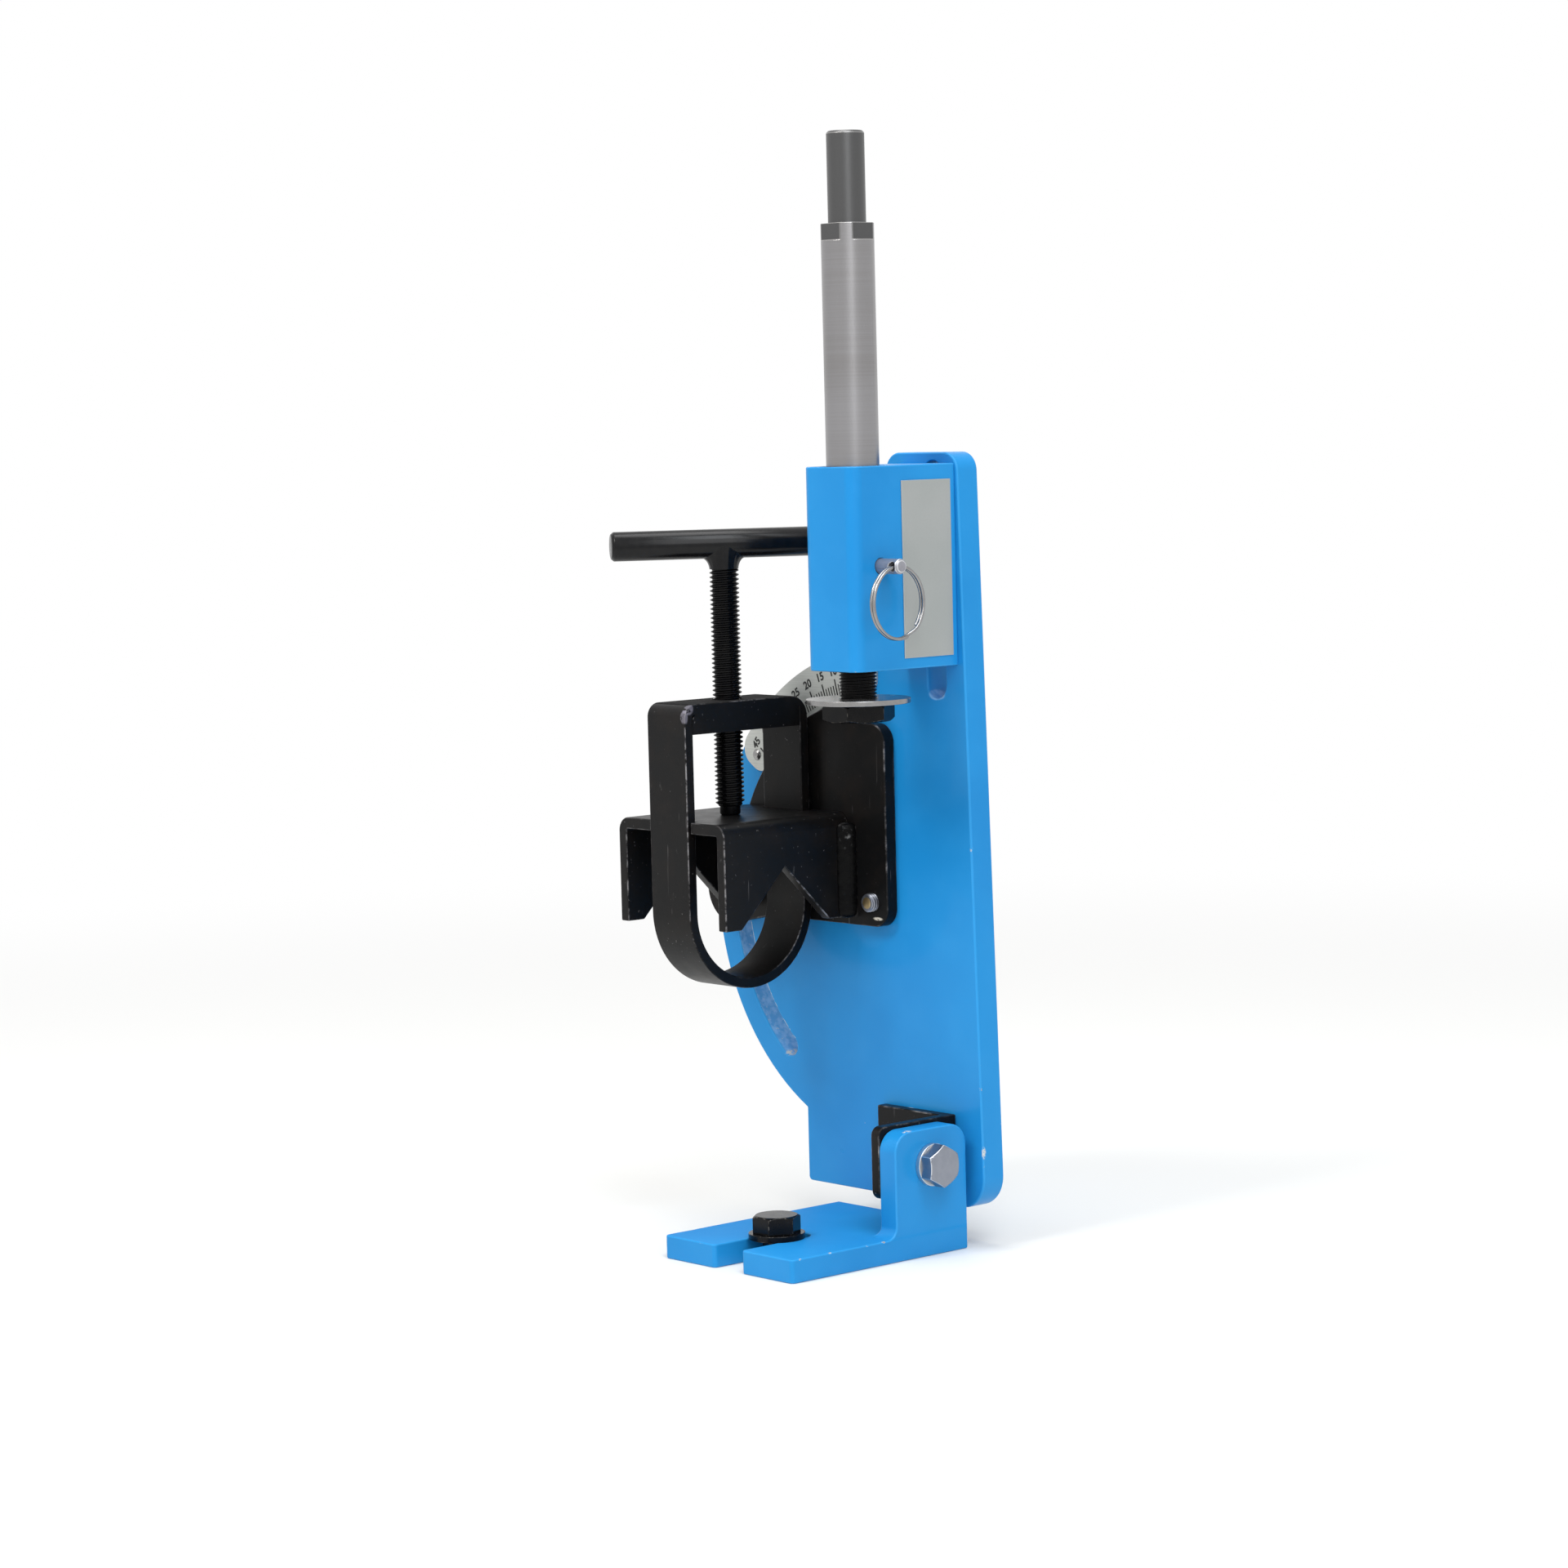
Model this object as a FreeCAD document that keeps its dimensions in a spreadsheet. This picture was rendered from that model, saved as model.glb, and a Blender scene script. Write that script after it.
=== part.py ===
import FreeCAD
import Part
import Sketcher
import math
import os
import re

# Tube notcher, in millimetres, +Z up. The origin is where the table bolt's axis meets the table's
# face. +X runs along the frame plate to the ear's side, +Y from the arbor to the frame plate.

doc = FreeCAD.newDocument("tube_notcher")
sheet = doc.addObject("Spreadsheet::Sheet", "sizes")

sizes = {
    # arbor axis from the table bolt's axis
    "arbor_x": 22.0,
    "arbor_y": 33.5,
    # foot and ear
    "foot_left": 41.0,
    "ear_face": 40.5,
    "foot_front": 27.5,
    "foot_length": 100.0,
    "foot_thick": 10.0,
    "foot_slot": 17.0,
    "slot_reach": 35.0,
    "foot_corner": 2.0,
    "foot_bend": 3.0,
    "ear_width": 41.0,
    "ear_height": 54.5,
    "ear_thick": 10.0,
    "ear_corner": 9.0,
    "ear_fillet": 5.0,
    "tilt_height": 39.0,
    # fasteners: thread diameter, across flats, head height, nut height, end beyond the nut
    "table_thread": 12.0,
    "table_flats": 18.0,
    "table_head": 7.5,
    "table_thread_cut": 0.2,
    "table_reach": 27.5,
    "table_washer_wide": 24.0,
    "table_washer_thick": 2.5,
    "joint_thread": 10.0,
    "joint_flats": 16.0,
    "joint_head": 6.4,
    "joint_nut": 8.4,
    "joint_end": 3.0,
    "spring_washer_wide": 18.1,
    "spring_washer_thick": 2.4,
    "spring_washer_gap": 2.0,
    "joint_washer_wide": 20.0,
    "joint_washer_thick": 2.0,
    "small_thread": 8.0,
    "small_flats": 13.0,
    "small_head": 5.3,
    "small_washer_wide": 18.0,
    "small_washer_thick": 1.8,
    "small_end": 3.0,
    "head_chamfer": 0.5,
    "end_chamfer": 1.0,
    # clearances: turning fit, loose hole, gap of a part that slides past another
    "turning_gap": 0.05,
    "loose_gap": 0.25,
    "guide_gap": 0.75,
    # angle bracket
    "angle_thick": 5.0,
    "angle_bottom": 25.0,
    "angle_height": 31.0,
    "angle_near_leg": 45.0,
    "angle_web_leg": 44.0,
    "angle_corner": 4.0,
    "angle_inner_bend": 1.0,
    "swivel_inset": 21.5,
    "swivel_height": 40.0,
    # frame plate: its top is counted up from the height slot, and that slot's ends down from the
    # housing's lower face and up from its upper one
    "web_front": 43.0,
    "web_thick": 12.0,
    "web_bottom": 16.0,
    "web_top": 3.5,
    "web_left": 87.0,
    "web_right_low": 25.3,
    "web_right_high": 17.4,
    "neck_left": 26.5,
    "web_top_corner": 8.0,
    "web_low_corner": 14.0,
    "web_foot_corner": 2.0,
    "neck_corner": 4.0,
    "pivot_left": 35.0,
    "pivot_height": 144.5,
    "rim_radius": 109.0,
    "arc_slot_radius": 93.0,
    "arc_slot_wide": 9.0,
    "arc_slot_above": 2.0,
    "arc_slot_below": 48.0,
    "height_slot_off": 2.5,
    "height_slot_wide": 11.0,
    "height_slot_low": 14.5,
    "height_slot_high": 1.0,
    # degree scale
    "scale_inner": 89.5,
    "scale_thick": 1.0,
    "scale_first": 0.5,
    "scale_last": 56.0,
    "scale_end_radius": 8.0,
    "rivet_ring": 99.0,
    "rivet_first": 1.7,
    "rivet_last": 52.6,
    "rivet_head": 5.2,
    "rivet_rise": 1.4,
    "rivet_shank": 3.0,
    "rivet_depth": 6.0,
    # arbor housing: its lower face is counted down from the arbor's shoulder, and its upper face,
    # bolts, label and lock pin are counted up from its lower face
    "housing_wide": 32.0,
    "housing_front": 15.0,
    "housing_low": 2.5,
    "housing_high": 85.0,
    "housing_corner": 5.5,
    "bush_wall": 3.0,
    "bush_length": 20.0,
    "bush_play": 0.2,
    "circlip_thick": 1.2,
    "circlip_wide": 2.4,
    "circlip_land": 1.2,
    "circlip_depth": 0.8,
    "bore_relief": 1.0,
    "housing_bolt_low": 20.5,
    "housing_bolt_high": 64.5,
    "housing_bolt_depth": 14.0,
    "label_wide": 28.0,
    "label_back": 3.0,
    "label_low": 4.5,
    "label_high": 78.5,
    "label_thick": 0.5,
    # arbor: the nose is counted down from the shoulder, and the guide up from it
    "arbor_wide": 22.2,
    "arbor_shoulder": 251.0,
    "arbor_high": 182.7,
    "wrench_square": 19.0,
    "wrench_tall": 7.0,
    "shank_wide": 15.88,
    "shank_tall": 38.0,
    "nose_wide": 15.88,
    "nose_low": 24.0,
    "nut_flats": 27.0,
    "nut_tall": 7.5,
    "disc_wide": 44.0,
    "disc_thick": 2.2,
    "arbor_chamfer": 1.0,
    # lock pin and its ring
    "pin_wide": 6.4,
    "pin_height": 43.5,
    "pin_out": 12.5,
    "pin_shy": 0.6,
    "pin_dome": 0.8,
    "pin_stroke": 6.0,
    "ring_in": 3.0,
    "ring_wire": 1.5,
    "ring_overlap": 0.1,
    "ring_wide": 31.5,
    "ring_hole": 4.0,
    # swing plate
    "swing_thick": 6.0,
    "swing_right": 10.0,
    "swing_below": 10.5,
    "swing_above": 77.5,
    "swing_arc": 88.0,
    "swing_arc_end": 65.0,
    "swing_shoulder": 25.0,
    "swing_nick_x": 76.0,
    "swing_nick_z": 28.0,
    "swing_lobe": 16.0,
    "swing_lobe_foot": 65.0,
    "swing_corner": 8.0,
    "pointer_angle": 5.2,
    "pointer_half": 5.0,
    "pointer_gap": 0.7,
    # V channel: its middle is counted left from halfway between the two bolts
    "channel_centre": 2.5,
    "channel_wide": 70.0,
    "channel_low": 137.5,
    "channel_high": 183.0,
    "channel_wall": 5.0,
    "channel_bend": 6.0,
    "channel_front": 34.0,
    "vee_deep": 25.0,
    "weld_leg": 5.0,
    # strap
    "strap_wide": 25.0,
    "strap_thick": 4.5,
    "strap_outer": 70.0,
    "strap_top": 233.3,
    "strap_centre": 143.3,
    "strap_corner": 6.0,
    "strap_back_corner": 9.0,
    "block_tall": 8.5,
    # clamp screw
    "screw_wide": 12.7,
    "screw_tip_wide": 9.0,
    "screw_tip_tall": 4.0,
    "tee_wide": 12.7,
    "tee_long": 98.0,
    "tee_height": 300.5,
    "tee_angle": 58.0,
    "tee_weld_wide": 19.0,
    "tee_weld_tall": 7.0,
}
for row, (word, number) in enumerate(sizes.items(), 1):
    sheet.set(f"A{row}", word)
    sheet.set(f"B{row}", str(number))
    sheet.setAlias(f"B{row}", word)
doc.recompute()

alongX = FreeCAD.Rotation(FreeCAD.Vector(0, 1, 0), 90)
alongY = FreeCAD.Rotation(FreeCAD.Vector(1, 0, 0), -90)
againstY = FreeCAD.Rotation(FreeCAD.Vector(1, 0, 0), 90)
upright = FreeCAD.Rotation()


def linked(formula):
    """Writes the sheet's name before each size in a formula."""
    def named(found):
        word = found.group(0)
        return "sizes." + word if word in sizes else word

    return re.sub(r"[a-z_]+", named, formula)


def number(formula):
    """The formula's present value."""
    found = sheet.evalExpression(linked(formula))
    return float(getattr(found, "Value", found))


def bind(thing, **formulas):
    """Ties properties to formulas of the sheet's sizes."""
    for name, formula in formulas.items():
        thing.setExpression(name, linked(formula))
    return thing


def place(thing, x="0", y="0", z="0", turn=upright):
    """Turns a thing and ties its place to the sheet."""
    thing.Placement = FreeCAD.Placement(FreeCAD.Vector(), turn)
    for axis, formula in zip("xyz", (x, y, z)):
        thing.setExpression(f"Placement.Base.{axis}", linked(formula))
    return thing


def primitive(kind, name, **formulas):
    return bind(doc.addObject(f"Part::{kind}", name), **formulas)


def cylinder(name, radius, height, **where):
    return place(primitive("Cylinder", name, Radius=radius, Height=height), **where)


def fused(name, *things):
    made = doc.addObject("Part::MultiFuse", name)
    made.Shapes = list(things)
    return made


def without(name, base, *tools):
    tool = tools[0] if len(tools) == 1 else fused(name + "_cuts", *tools)
    made = doc.addObject("Part::Cut", name)
    made.Base = base
    made.Tool = tool
    return made


def group(name, things):
    made = doc.addObject("Part::Compound", name)
    made.Links = things
    return made


# Sketched bodies

def new_body(name):
    body = doc.addObject("PartDesign::Body", name)
    body.Label = name
    return body


def new_sketch(body, name, role, away=None):
    sketch = body.newObject("Sketcher::SketchObject", f"{body.Name}_{name}")
    plane = [feature for feature in body.Origin.OriginFeatures if feature.Role == role][0]
    sketch.AttachmentSupport = [(plane, "")]
    sketch.MapMode = "FlatFace"
    if away:
        sketch.setExpression("AttachmentOffset.Base.z", linked(away))
    return sketch


def hold(sketch, kind, name, formula, *where):
    """Adds a named dimension to a sketch and ties it to the sheet."""
    index = sketch.addConstraint(Sketcher.Constraint(kind, *where, number(formula)))
    sketch.renameConstraint(index, name)
    sketch.setExpression(f"Constraints.{name}", linked(formula))


def outline(sketch, corners, arcs=None):
    """Draws a closed outline. A corner is a pair of formulas, or (formula, None, guess) where an arc
    settles its second value. arcs gives, for the side that starts at a corner, its centre and
    radius, 1 for anticlockwise or -1 for clockwise, and which of x, y and r are held if not all."""
    arcs = arcs or {}
    first = sketch.GeometryCount
    count = len(corners)
    ends = []
    for corner in corners:
        second = corner[1] if corner[1] is not None else corner[2]
        ends.append(FreeCAD.Vector(number(corner[0]), number(second), 0))
    starts = {}
    for side in range(count):
        start = ends[side]
        end = ends[(side + 1) % count]
        if side in arcs:
            centre_x, centre_y, radius, sense = arcs[side][:4]
            centre = FreeCAD.Vector(number(centre_x), number(centre_y), 0)
            circle = Part.Circle(centre, FreeCAD.Vector(0, 0, 1), number(radius))
            angles = [circle.parameter(point) for point in (start, end)]
            angles = angles if sense > 0 else angles[::-1]
            if angles[1] <= angles[0]:
                angles[1] += math.tau
            sketch.addGeometry(Part.ArcOfCircle(circle, *angles))
            starts[side] = (1, 2) if sense > 0 else (2, 1)
        else:
            sketch.addGeometry(Part.LineSegment(start, end))
            starts[side] = (1, 2)
    for side in range(count):
        after = (side + 1) % count
        joined = (first + side, starts[side][1], first + after, starts[after][0])
        sketch.addConstraint(Sketcher.Constraint("Coincident", *joined))
    for side, corner in enumerate(corners):
        point = (-1, 1, first + side, starts[side][0])
        hold(sketch, "DistanceX", f"x{first}_{side}", corner[0], *point)
        if corner[1] is not None:
            hold(sketch, "DistanceY", f"y{first}_{side}", corner[1], *point)
        if side in arcs:
            centre = (-1, 1, first + side, 3)
            held = arcs[side][4] if len(arcs[side]) > 4 else "xyr"
            if "x" in held:
                hold(sketch, "DistanceX", f"cx{first}_{side}", arcs[side][0], *centre)
            if "y" in held:
                hold(sketch, "DistanceY", f"cy{first}_{side}", arcs[side][1], *centre)
            if "r" in held:
                hold(sketch, "Radius", f"r{first}_{side}", arcs[side][2], first + side)


def round_hole(sketch, x, y, radius):
    index = sketch.GeometryCount
    centre = FreeCAD.Vector(number(x), number(y), 0)
    sketch.addGeometry(Part.Circle(centre, FreeCAD.Vector(0, 0, 1), number(radius)))
    hold(sketch, "DistanceX", f"hx{index}", x, -1, 1, index, 3)
    hold(sketch, "DistanceY", f"hy{index}", y, -1, 1, index, 3)
    hold(sketch, "Radius", f"hr{index}", radius, index)


def pad(body, sketch, length, reverse=False):
    doc.recompute()
    made = body.newObject("PartDesign::Pad", sketch.Name + "_pad")
    made.Profile = sketch
    made.Reversed = reverse
    bind(made, Length=length)
    doc.recompute()
    return made


def cut_through(body, sketch):
    """Cuts a sketch through everything on both sides of its plane."""
    doc.recompute()
    before = body.Shape.Volume
    made = body.newObject("PartDesign::Pocket", sketch.Name + "_cut")
    made.Profile = sketch
    made.Type = "ThroughAll"
    made.Midplane = True
    doc.recompute()
    if body.Shape.Volume >= before:
        raise RuntimeError(f"{made.Name} cuts nothing")
    return made


def edges_where(shape, test):
    """Names of the straight edges that pass a test on (middle, direction)."""
    names = []
    for index, edge in enumerate(shape.Edges, 1):
        if edge.Curve.TypeId != "Part::GeomLine":
            continue
        ends = [vertex.Point for vertex in edge.Vertexes]
        direction = (ends[1] - ends[0]).normalize()
        if test((ends[0] + ends[1]) * 0.5, direction):
            names.append(f"Edge{index}")
    return names


def round_edges(body, radius, test):
    tip = body.Tip
    names = edges_where(tip.Shape, test)
    if not names:
        raise RuntimeError(f"no edge to round on {body.Label}")
    made = body.newObject("PartDesign::Fillet", f"{body.Name}_round")
    made.Base = (tip, names)
    bind(made, Radius=radius)
    doc.recompute()
    return made


def near(value, formula, slack=0.05):
    return abs(value - number(formula)) < slack


def revolved(name, steps):
    """A turned piece on +Z. steps are (height, radius) formulas from the bottom up, and each pair
    of steps bounds one straight side."""
    body = new_body(name)
    sketch = new_sketch(body, "profile", "XZ_Plane")
    corners = [("0", steps[0][0])]
    corners += [(radius, height) for height, radius in steps]
    corners.append(("0", steps[-1][0]))
    outline(sketch, corners)
    doc.recompute()
    made = body.newObject("PartDesign::Revolution", name + "_turned")
    made.Profile = sketch
    made.ReferenceAxis = (sketch, ["V_Axis"])
    made.Angle = 360.0
    doc.recompute()
    return body


# Fasteners, built on +Z with the bearing face at zero, the head above it and the shank below it

def hex_solid(name, flats, tall, chamfered=1):
    """A hexagon with its upper corners, or both, chamfered."""
    prism = primitive("Prism", name + "_prism", Circumradius=f"{flats} / sqrt(3)", Height=tall)
    prism.Polygon = 6
    wide = f"{flats} / 2 + {tall} * sqrt(3)"
    narrow = f"{flats} / 2 - head_chamfer / 2"
    top = primitive("Cone", name + "_top", Radius1=wide, Radius2=narrow, Height=tall)
    made = doc.addObject("Part::MultiCommon", name + "_hex")
    made.Shapes = [prism, top]
    if chamfered == 2:
        low = primitive("Cone", name + "_low", Radius1=narrow, Radius2=wide, Height=tall)
        made.Shapes = [prism, top, low]
    return made


def shank(name, thread, length):
    """A shank from zero down, chamfered at its end."""
    plain = cylinder(name + "_shank", f"{thread} / 2", f"{length} - end_chamfer",
                     z=f"-({length} - end_chamfer)")
    end = primitive("Cone", name + "_end", Radius1=f"{thread} / 2 - end_chamfer", Radius2=f"{thread} / 2",
                    Height="end_chamfer")
    place(end, z=f"-({length})")
    return [plain, end]


def hex_bolt(name, thread, flats, head, length):
    return fused(name, hex_solid(name, flats, head), *shank(name, thread, length))


def hex_nut(name, thread, flats, tall):
    hole = cylinder(name + "_hole", f"{thread} / 2 + turning_gap", f"{tall} + 2", z="-1")
    return without(name, hex_solid(name, flats, tall, 2), hole)


def washer(name, thread, wide, thick):
    disc = cylinder(name + "_disc", f"{wide} / 2", thick)
    hole = cylinder(name + "_hole", f"{thread} / 2 + loose_gap", f"{thick} + 2", z="-1")
    return without(name, disc, hole)


# Places that several pieces share
ear_inner = "(ear_face - ear_thick)"
foot_back = "(foot_length - foot_front)"
tilt_y = f"({foot_back} - ear_width / 2)"
web_y = "(arbor_y + web_front)"
web_back = f"({web_y} + web_thick)"
swing_y = f"({web_y} - swing_thick)"
pivot_x = "(arbor_x - pivot_left)"
swivel_x = f"({ear_inner} - swivel_inset)"
channel_x = f"({pivot_x} - arc_slot_radius / 2 - channel_centre)"
nose_end = "(arbor_shoulder - nose_low)"
guide_top = "(arbor_shoulder + arbor_high)"
housing_foot = "(arbor_shoulder - housing_low)"
housing_head = f"({housing_foot} + housing_high)"
bolt_heights = (f"({housing_foot} + housing_bolt_low)", f"({housing_foot} + housing_bolt_high)")
pin_z = f"({housing_foot} + pin_height)"
slot_foot = f"({housing_foot} - height_slot_low)"
slot_head = f"({housing_head} + height_slot_high)"
web_head = f"({slot_head} + web_top)"
parts = {}


def keep(name, thing):
    thing.Label = name
    parts[name] = thing
    return thing


# Foot: a slotted plate with an ear folded up at its right, behind the slot

def make_foot():
    body = new_body("foot_bracket")
    plan = new_sketch(body, "plan", "XY_Plane")
    outline(plan, [
        ("-foot_left", "-foot_front"),
        ("-foot_slot / 2", "-foot_front"),
        ("-foot_slot / 2", "slot_reach - foot_front"),
        ("foot_slot / 2", "slot_reach - foot_front"),
        ("foot_slot / 2", "-foot_front"),
        ("ear_face", "-foot_front"),
        ("ear_face", foot_back),
        ("-foot_left", foot_back),
    ])
    pad(body, plan, "foot_thick")
    slot_end = new_sketch(body, "slot_end", "XY_Plane")
    round_hole(slot_end, "0", "slot_reach - foot_front", "foot_slot / 2")
    cut_through(body, slot_end)
    ear = new_sketch(body, "ear", "YZ_Plane", ear_inner)
    outline(ear, [
        (f"{foot_back} - ear_width", "0"),
        (foot_back, "0"),
        (foot_back, "ear_height"),
        (f"{foot_back} - ear_width", "ear_height"),
    ])
    pad(body, ear, "ear_thick")
    hole = new_sketch(body, "tilt_hole", "YZ_Plane")
    round_hole(hole, tilt_y, "tilt_height", "joint_thread / 2 + loose_gap")
    cut_through(body, hole)
    round_edges(body, "ear_corner", lambda middle, way: abs(way.x) > 0.9 and near(middle.z, "ear_height"))
    round_edges(body, "foot_bend", lambda middle, way: abs(way.y) > 0.9 and near(middle.z, "foot_thick")
                and near(middle.x, ear_inner))
    round_edges(body, "ear_fillet", lambda middle, way: abs(way.x) > 0.9 and near(middle.z, "foot_thick")
                and near(middle.y, f"{foot_back} - ear_width"))
    round_edges(body, "foot_corner", lambda middle, way: abs(way.z) > 0.9 and near(middle.y, "-foot_front"))
    keep("foot_bracket", body)


def make_table_bolt():
    bolt_seat = "foot_thick + table_washer_thick"
    head = hex_solid("table_bolt", "table_flats", "table_head")
    place(head, z=bolt_seat)
    body = cylinder("table_bolt_body", "table_thread / 2", bolt_seat)
    thread = cylinder("table_bolt_thread", "table_thread / 2 - table_thread_cut",
                      "table_reach - end_chamfer", z="end_chamfer - table_reach")
    end = primitive("Cone", "table_bolt_end", Radius1="table_thread / 2 - end_chamfer",
                    Radius2="table_thread / 2 - table_thread_cut", Height="end_chamfer")
    place(end, z="-table_reach")
    keep("table_bolt", fused("table_bolt", head, body, thread, end))
    ring = washer("table_washer", "table_thread", "table_washer_wide", "table_washer_thick")
    keep("table_washer", place(ring, z="foot_thick"))


# Tilt joint: the foot's ear, the angle's near leg and a bolt along X

def make_tilt_fasteners():
    grip = "ear_thick + angle_thick + spring_washer_thick + joint_nut + joint_end"
    bolt = hex_bolt("tilt_bolt", "joint_thread", "joint_flats", "joint_head", grip)
    keep("tilt_bolt", place(bolt, "ear_face + spring_washer_thick", tilt_y, "tilt_height", alongX))
    ring = washer("spring_ring", "joint_thread", "spring_washer_wide", "spring_washer_thick")
    gap = primitive("Box", "spring_gap", Length="spring_washer_gap", Width="spring_washer_wide",
                    Height="spring_washer_thick + 2")
    place(gap, x="-spring_washer_gap / 2", z="-1")
    split = without("tilt_spring_washer", ring, gap)
    keep("tilt_spring_washer", place(split, "ear_face", tilt_y, "tilt_height", alongX))
    nut = hex_nut("tilt_nut", "joint_thread", "joint_flats", "joint_nut")
    keep("tilt_nut", place(nut, f"{ear_inner} - angle_thick - joint_nut", tilt_y, "tilt_height", alongX))


def make_angle_bracket():
    body = new_body("angle_bracket")
    leg_x = f"{ear_inner} - angle_thick"
    plan = new_sketch(body, "plan", "XY_Plane", "angle_bottom")
    outline(plan, [
        (leg_x, f"{web_y} - angle_near_leg"),
        (ear_inner, f"{web_y} - angle_near_leg"),
        (ear_inner, web_y),
        (f"{ear_inner} - angle_web_leg", web_y),
        (f"{ear_inner} - angle_web_leg", f"{web_y} - angle_thick"),
        (leg_x, f"{web_y} - angle_thick"),
    ])
    pad(body, plan, "angle_height")
    tilt_hole = new_sketch(body, "tilt_hole", "YZ_Plane")
    round_hole(tilt_hole, tilt_y, "tilt_height", "joint_thread / 2 + turning_gap")
    cut_through(body, tilt_hole)
    swivel_hole = new_sketch(body, "swivel_hole", "XZ_Plane")
    round_hole(swivel_hole, swivel_x, "swivel_height", "joint_thread / 2 + loose_gap")
    cut_through(body, swivel_hole)
    round_edges(body, "angle_corner", lambda middle, way: abs(way.x) > 0.9
                and near(middle.y, f"{web_y} - angle_near_leg"))
    round_edges(body, "angle_inner_bend", lambda middle, way: abs(way.z) > 0.9
                and near(middle.x, leg_x) and near(middle.y, f"{web_y} - angle_thick"))
    keep("angle_bracket", body)


def make_swivel_fasteners():
    grip = "angle_thick + web_thick + joint_washer_thick + joint_nut + joint_end"
    bolt = hex_bolt("swivel_bolt", "joint_thread", "joint_flats", "joint_head", grip)
    keep("swivel_bolt", place(bolt, swivel_x, f"{web_y} - angle_thick", "swivel_height", againstY))
    ring = washer("swivel_washer", "joint_thread", "joint_washer_wide", "joint_washer_thick")
    keep("swivel_washer", place(ring, swivel_x, web_back, "swivel_height", alongY))
    nut = hex_nut("swivel_nut", "joint_thread", "joint_flats", "joint_nut")
    keep("swivel_nut", place(nut, swivel_x, f"{web_back} + joint_washer_thick", "swivel_height", alongY))


# Frame plate, drawn on XZ from the arbor's axis

def make_frame_plate():
    body = new_body("frame_plate")
    face = new_sketch(body, "face", "XZ_Plane")
    rim_drop = "sqrt(rim_radius ^ 2 - (web_left - pivot_left) ^ 2)"
    rim_rise = "sqrt(rim_radius ^ 2 - (pivot_left - neck_left) ^ 2)"
    outline(face, [
        ("-web_left", "web_bottom"),
        ("web_right_low", "web_bottom"),
        ("web_right_high", web_head),
        ("-neck_left", web_head),
        ("-neck_left", None, f"pivot_height + {rim_rise}"),
        ("-web_left", None, f"pivot_height - {rim_drop}"),
    ], {4: ("-pivot_left", "pivot_height", "rim_radius", 1)})
    pad(body, face, "web_thick", reverse=True)
    round_edges(body, "web_low_corner", lambda middle, way: abs(way.y) > 0.9
                and near(middle.x, "web_right_low"))
    round_edges(body, "web_top_corner", lambda middle, way: abs(way.y) > 0.9 and near(middle.z, web_head))
    round_edges(body, "web_foot_corner", lambda middle, way: abs(way.y) > 0.9 and near(middle.x, "-web_left")
                and near(middle.z, "web_bottom"))
    round_edges(body, "neck_corner", lambda middle, way: abs(way.y) > 0.9 and near(middle.x, "-neck_left")
                and middle.z < number(web_head) - number("web_top_corner") - 5)
    slot = new_sketch(body, "height_slot", "XZ_Plane")
    left = "height_slot_off - height_slot_wide / 2"
    right = "height_slot_off + height_slot_wide / 2"
    low = f"{slot_foot} + height_slot_wide / 2"
    high = f"{slot_head} - height_slot_wide / 2"
    outline(slot, [(left, low), (right, low), (right, high), (left, high)])
    cut_through(body, slot)
    for name, height in (("slot_low", low), ("slot_high", high)):
        end = new_sketch(body, name, "XZ_Plane")
        round_hole(end, "height_slot_off", height, "height_slot_wide / 2")
        cut_through(body, end)
    arc_slot = new_sketch(body, "arc_slot", "XZ_Plane")
    inner = "(arc_slot_radius - arc_slot_wide / 2)"
    outer = "(arc_slot_radius + arc_slot_wide / 2)"

    def on_arc(radius, angle):
        return (f"-pivot_left - {radius} * cos({angle})", f"pivot_height - {radius} * sin({angle})")

    starts = [on_arc(outer, "-arc_slot_above"), on_arc(outer, "arc_slot_below"),
              on_arc(inner, "arc_slot_below"), on_arc(inner, "-arc_slot_above")]
    centre = ("-pivot_left", "pivot_height")
    outline(arc_slot, [
        (starts[0][0], None, starts[0][1]),
        (starts[1][0], None, starts[1][1]),
        (starts[2][0], None, starts[2][1]),
        (starts[3][0], None, starts[3][1]),
    ], {0: (*centre, outer, 1), 2: (*centre, inner, -1)})
    cut_through(body, arc_slot)
    for name, angle in (("arc_low", "arc_slot_below"), ("arc_high", "-arc_slot_above")):
        end = new_sketch(body, name, "XZ_Plane")
        round_hole(end, *on_arc("arc_slot_radius", angle), "arc_slot_wide / 2")
        cut_through(body, end)
    holes = new_sketch(body, "holes", "XZ_Plane")
    round_hole(holes, "-pivot_left", "pivot_height", "small_thread / 2 + turning_gap")
    round_hole(holes, f"{swivel_x} - arbor_x", "swivel_height", "joint_thread / 2 + turning_gap")
    for angle in ("rivet_first", "rivet_last"):
        round_hole(holes, *scale_point("rivet_ring", angle), "rivet_shank / 2")
    cut_through(body, holes)
    keep("frame_plate", place(body, "arbor_x", web_y))


# Degree scale: an arc above the pivot, its angles counted to the left of vertical

def scale_point(radius, angle):
    return (f"-pivot_left - {radius} * sin({angle})", f"pivot_height + {radius} * cos({angle})")


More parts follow.
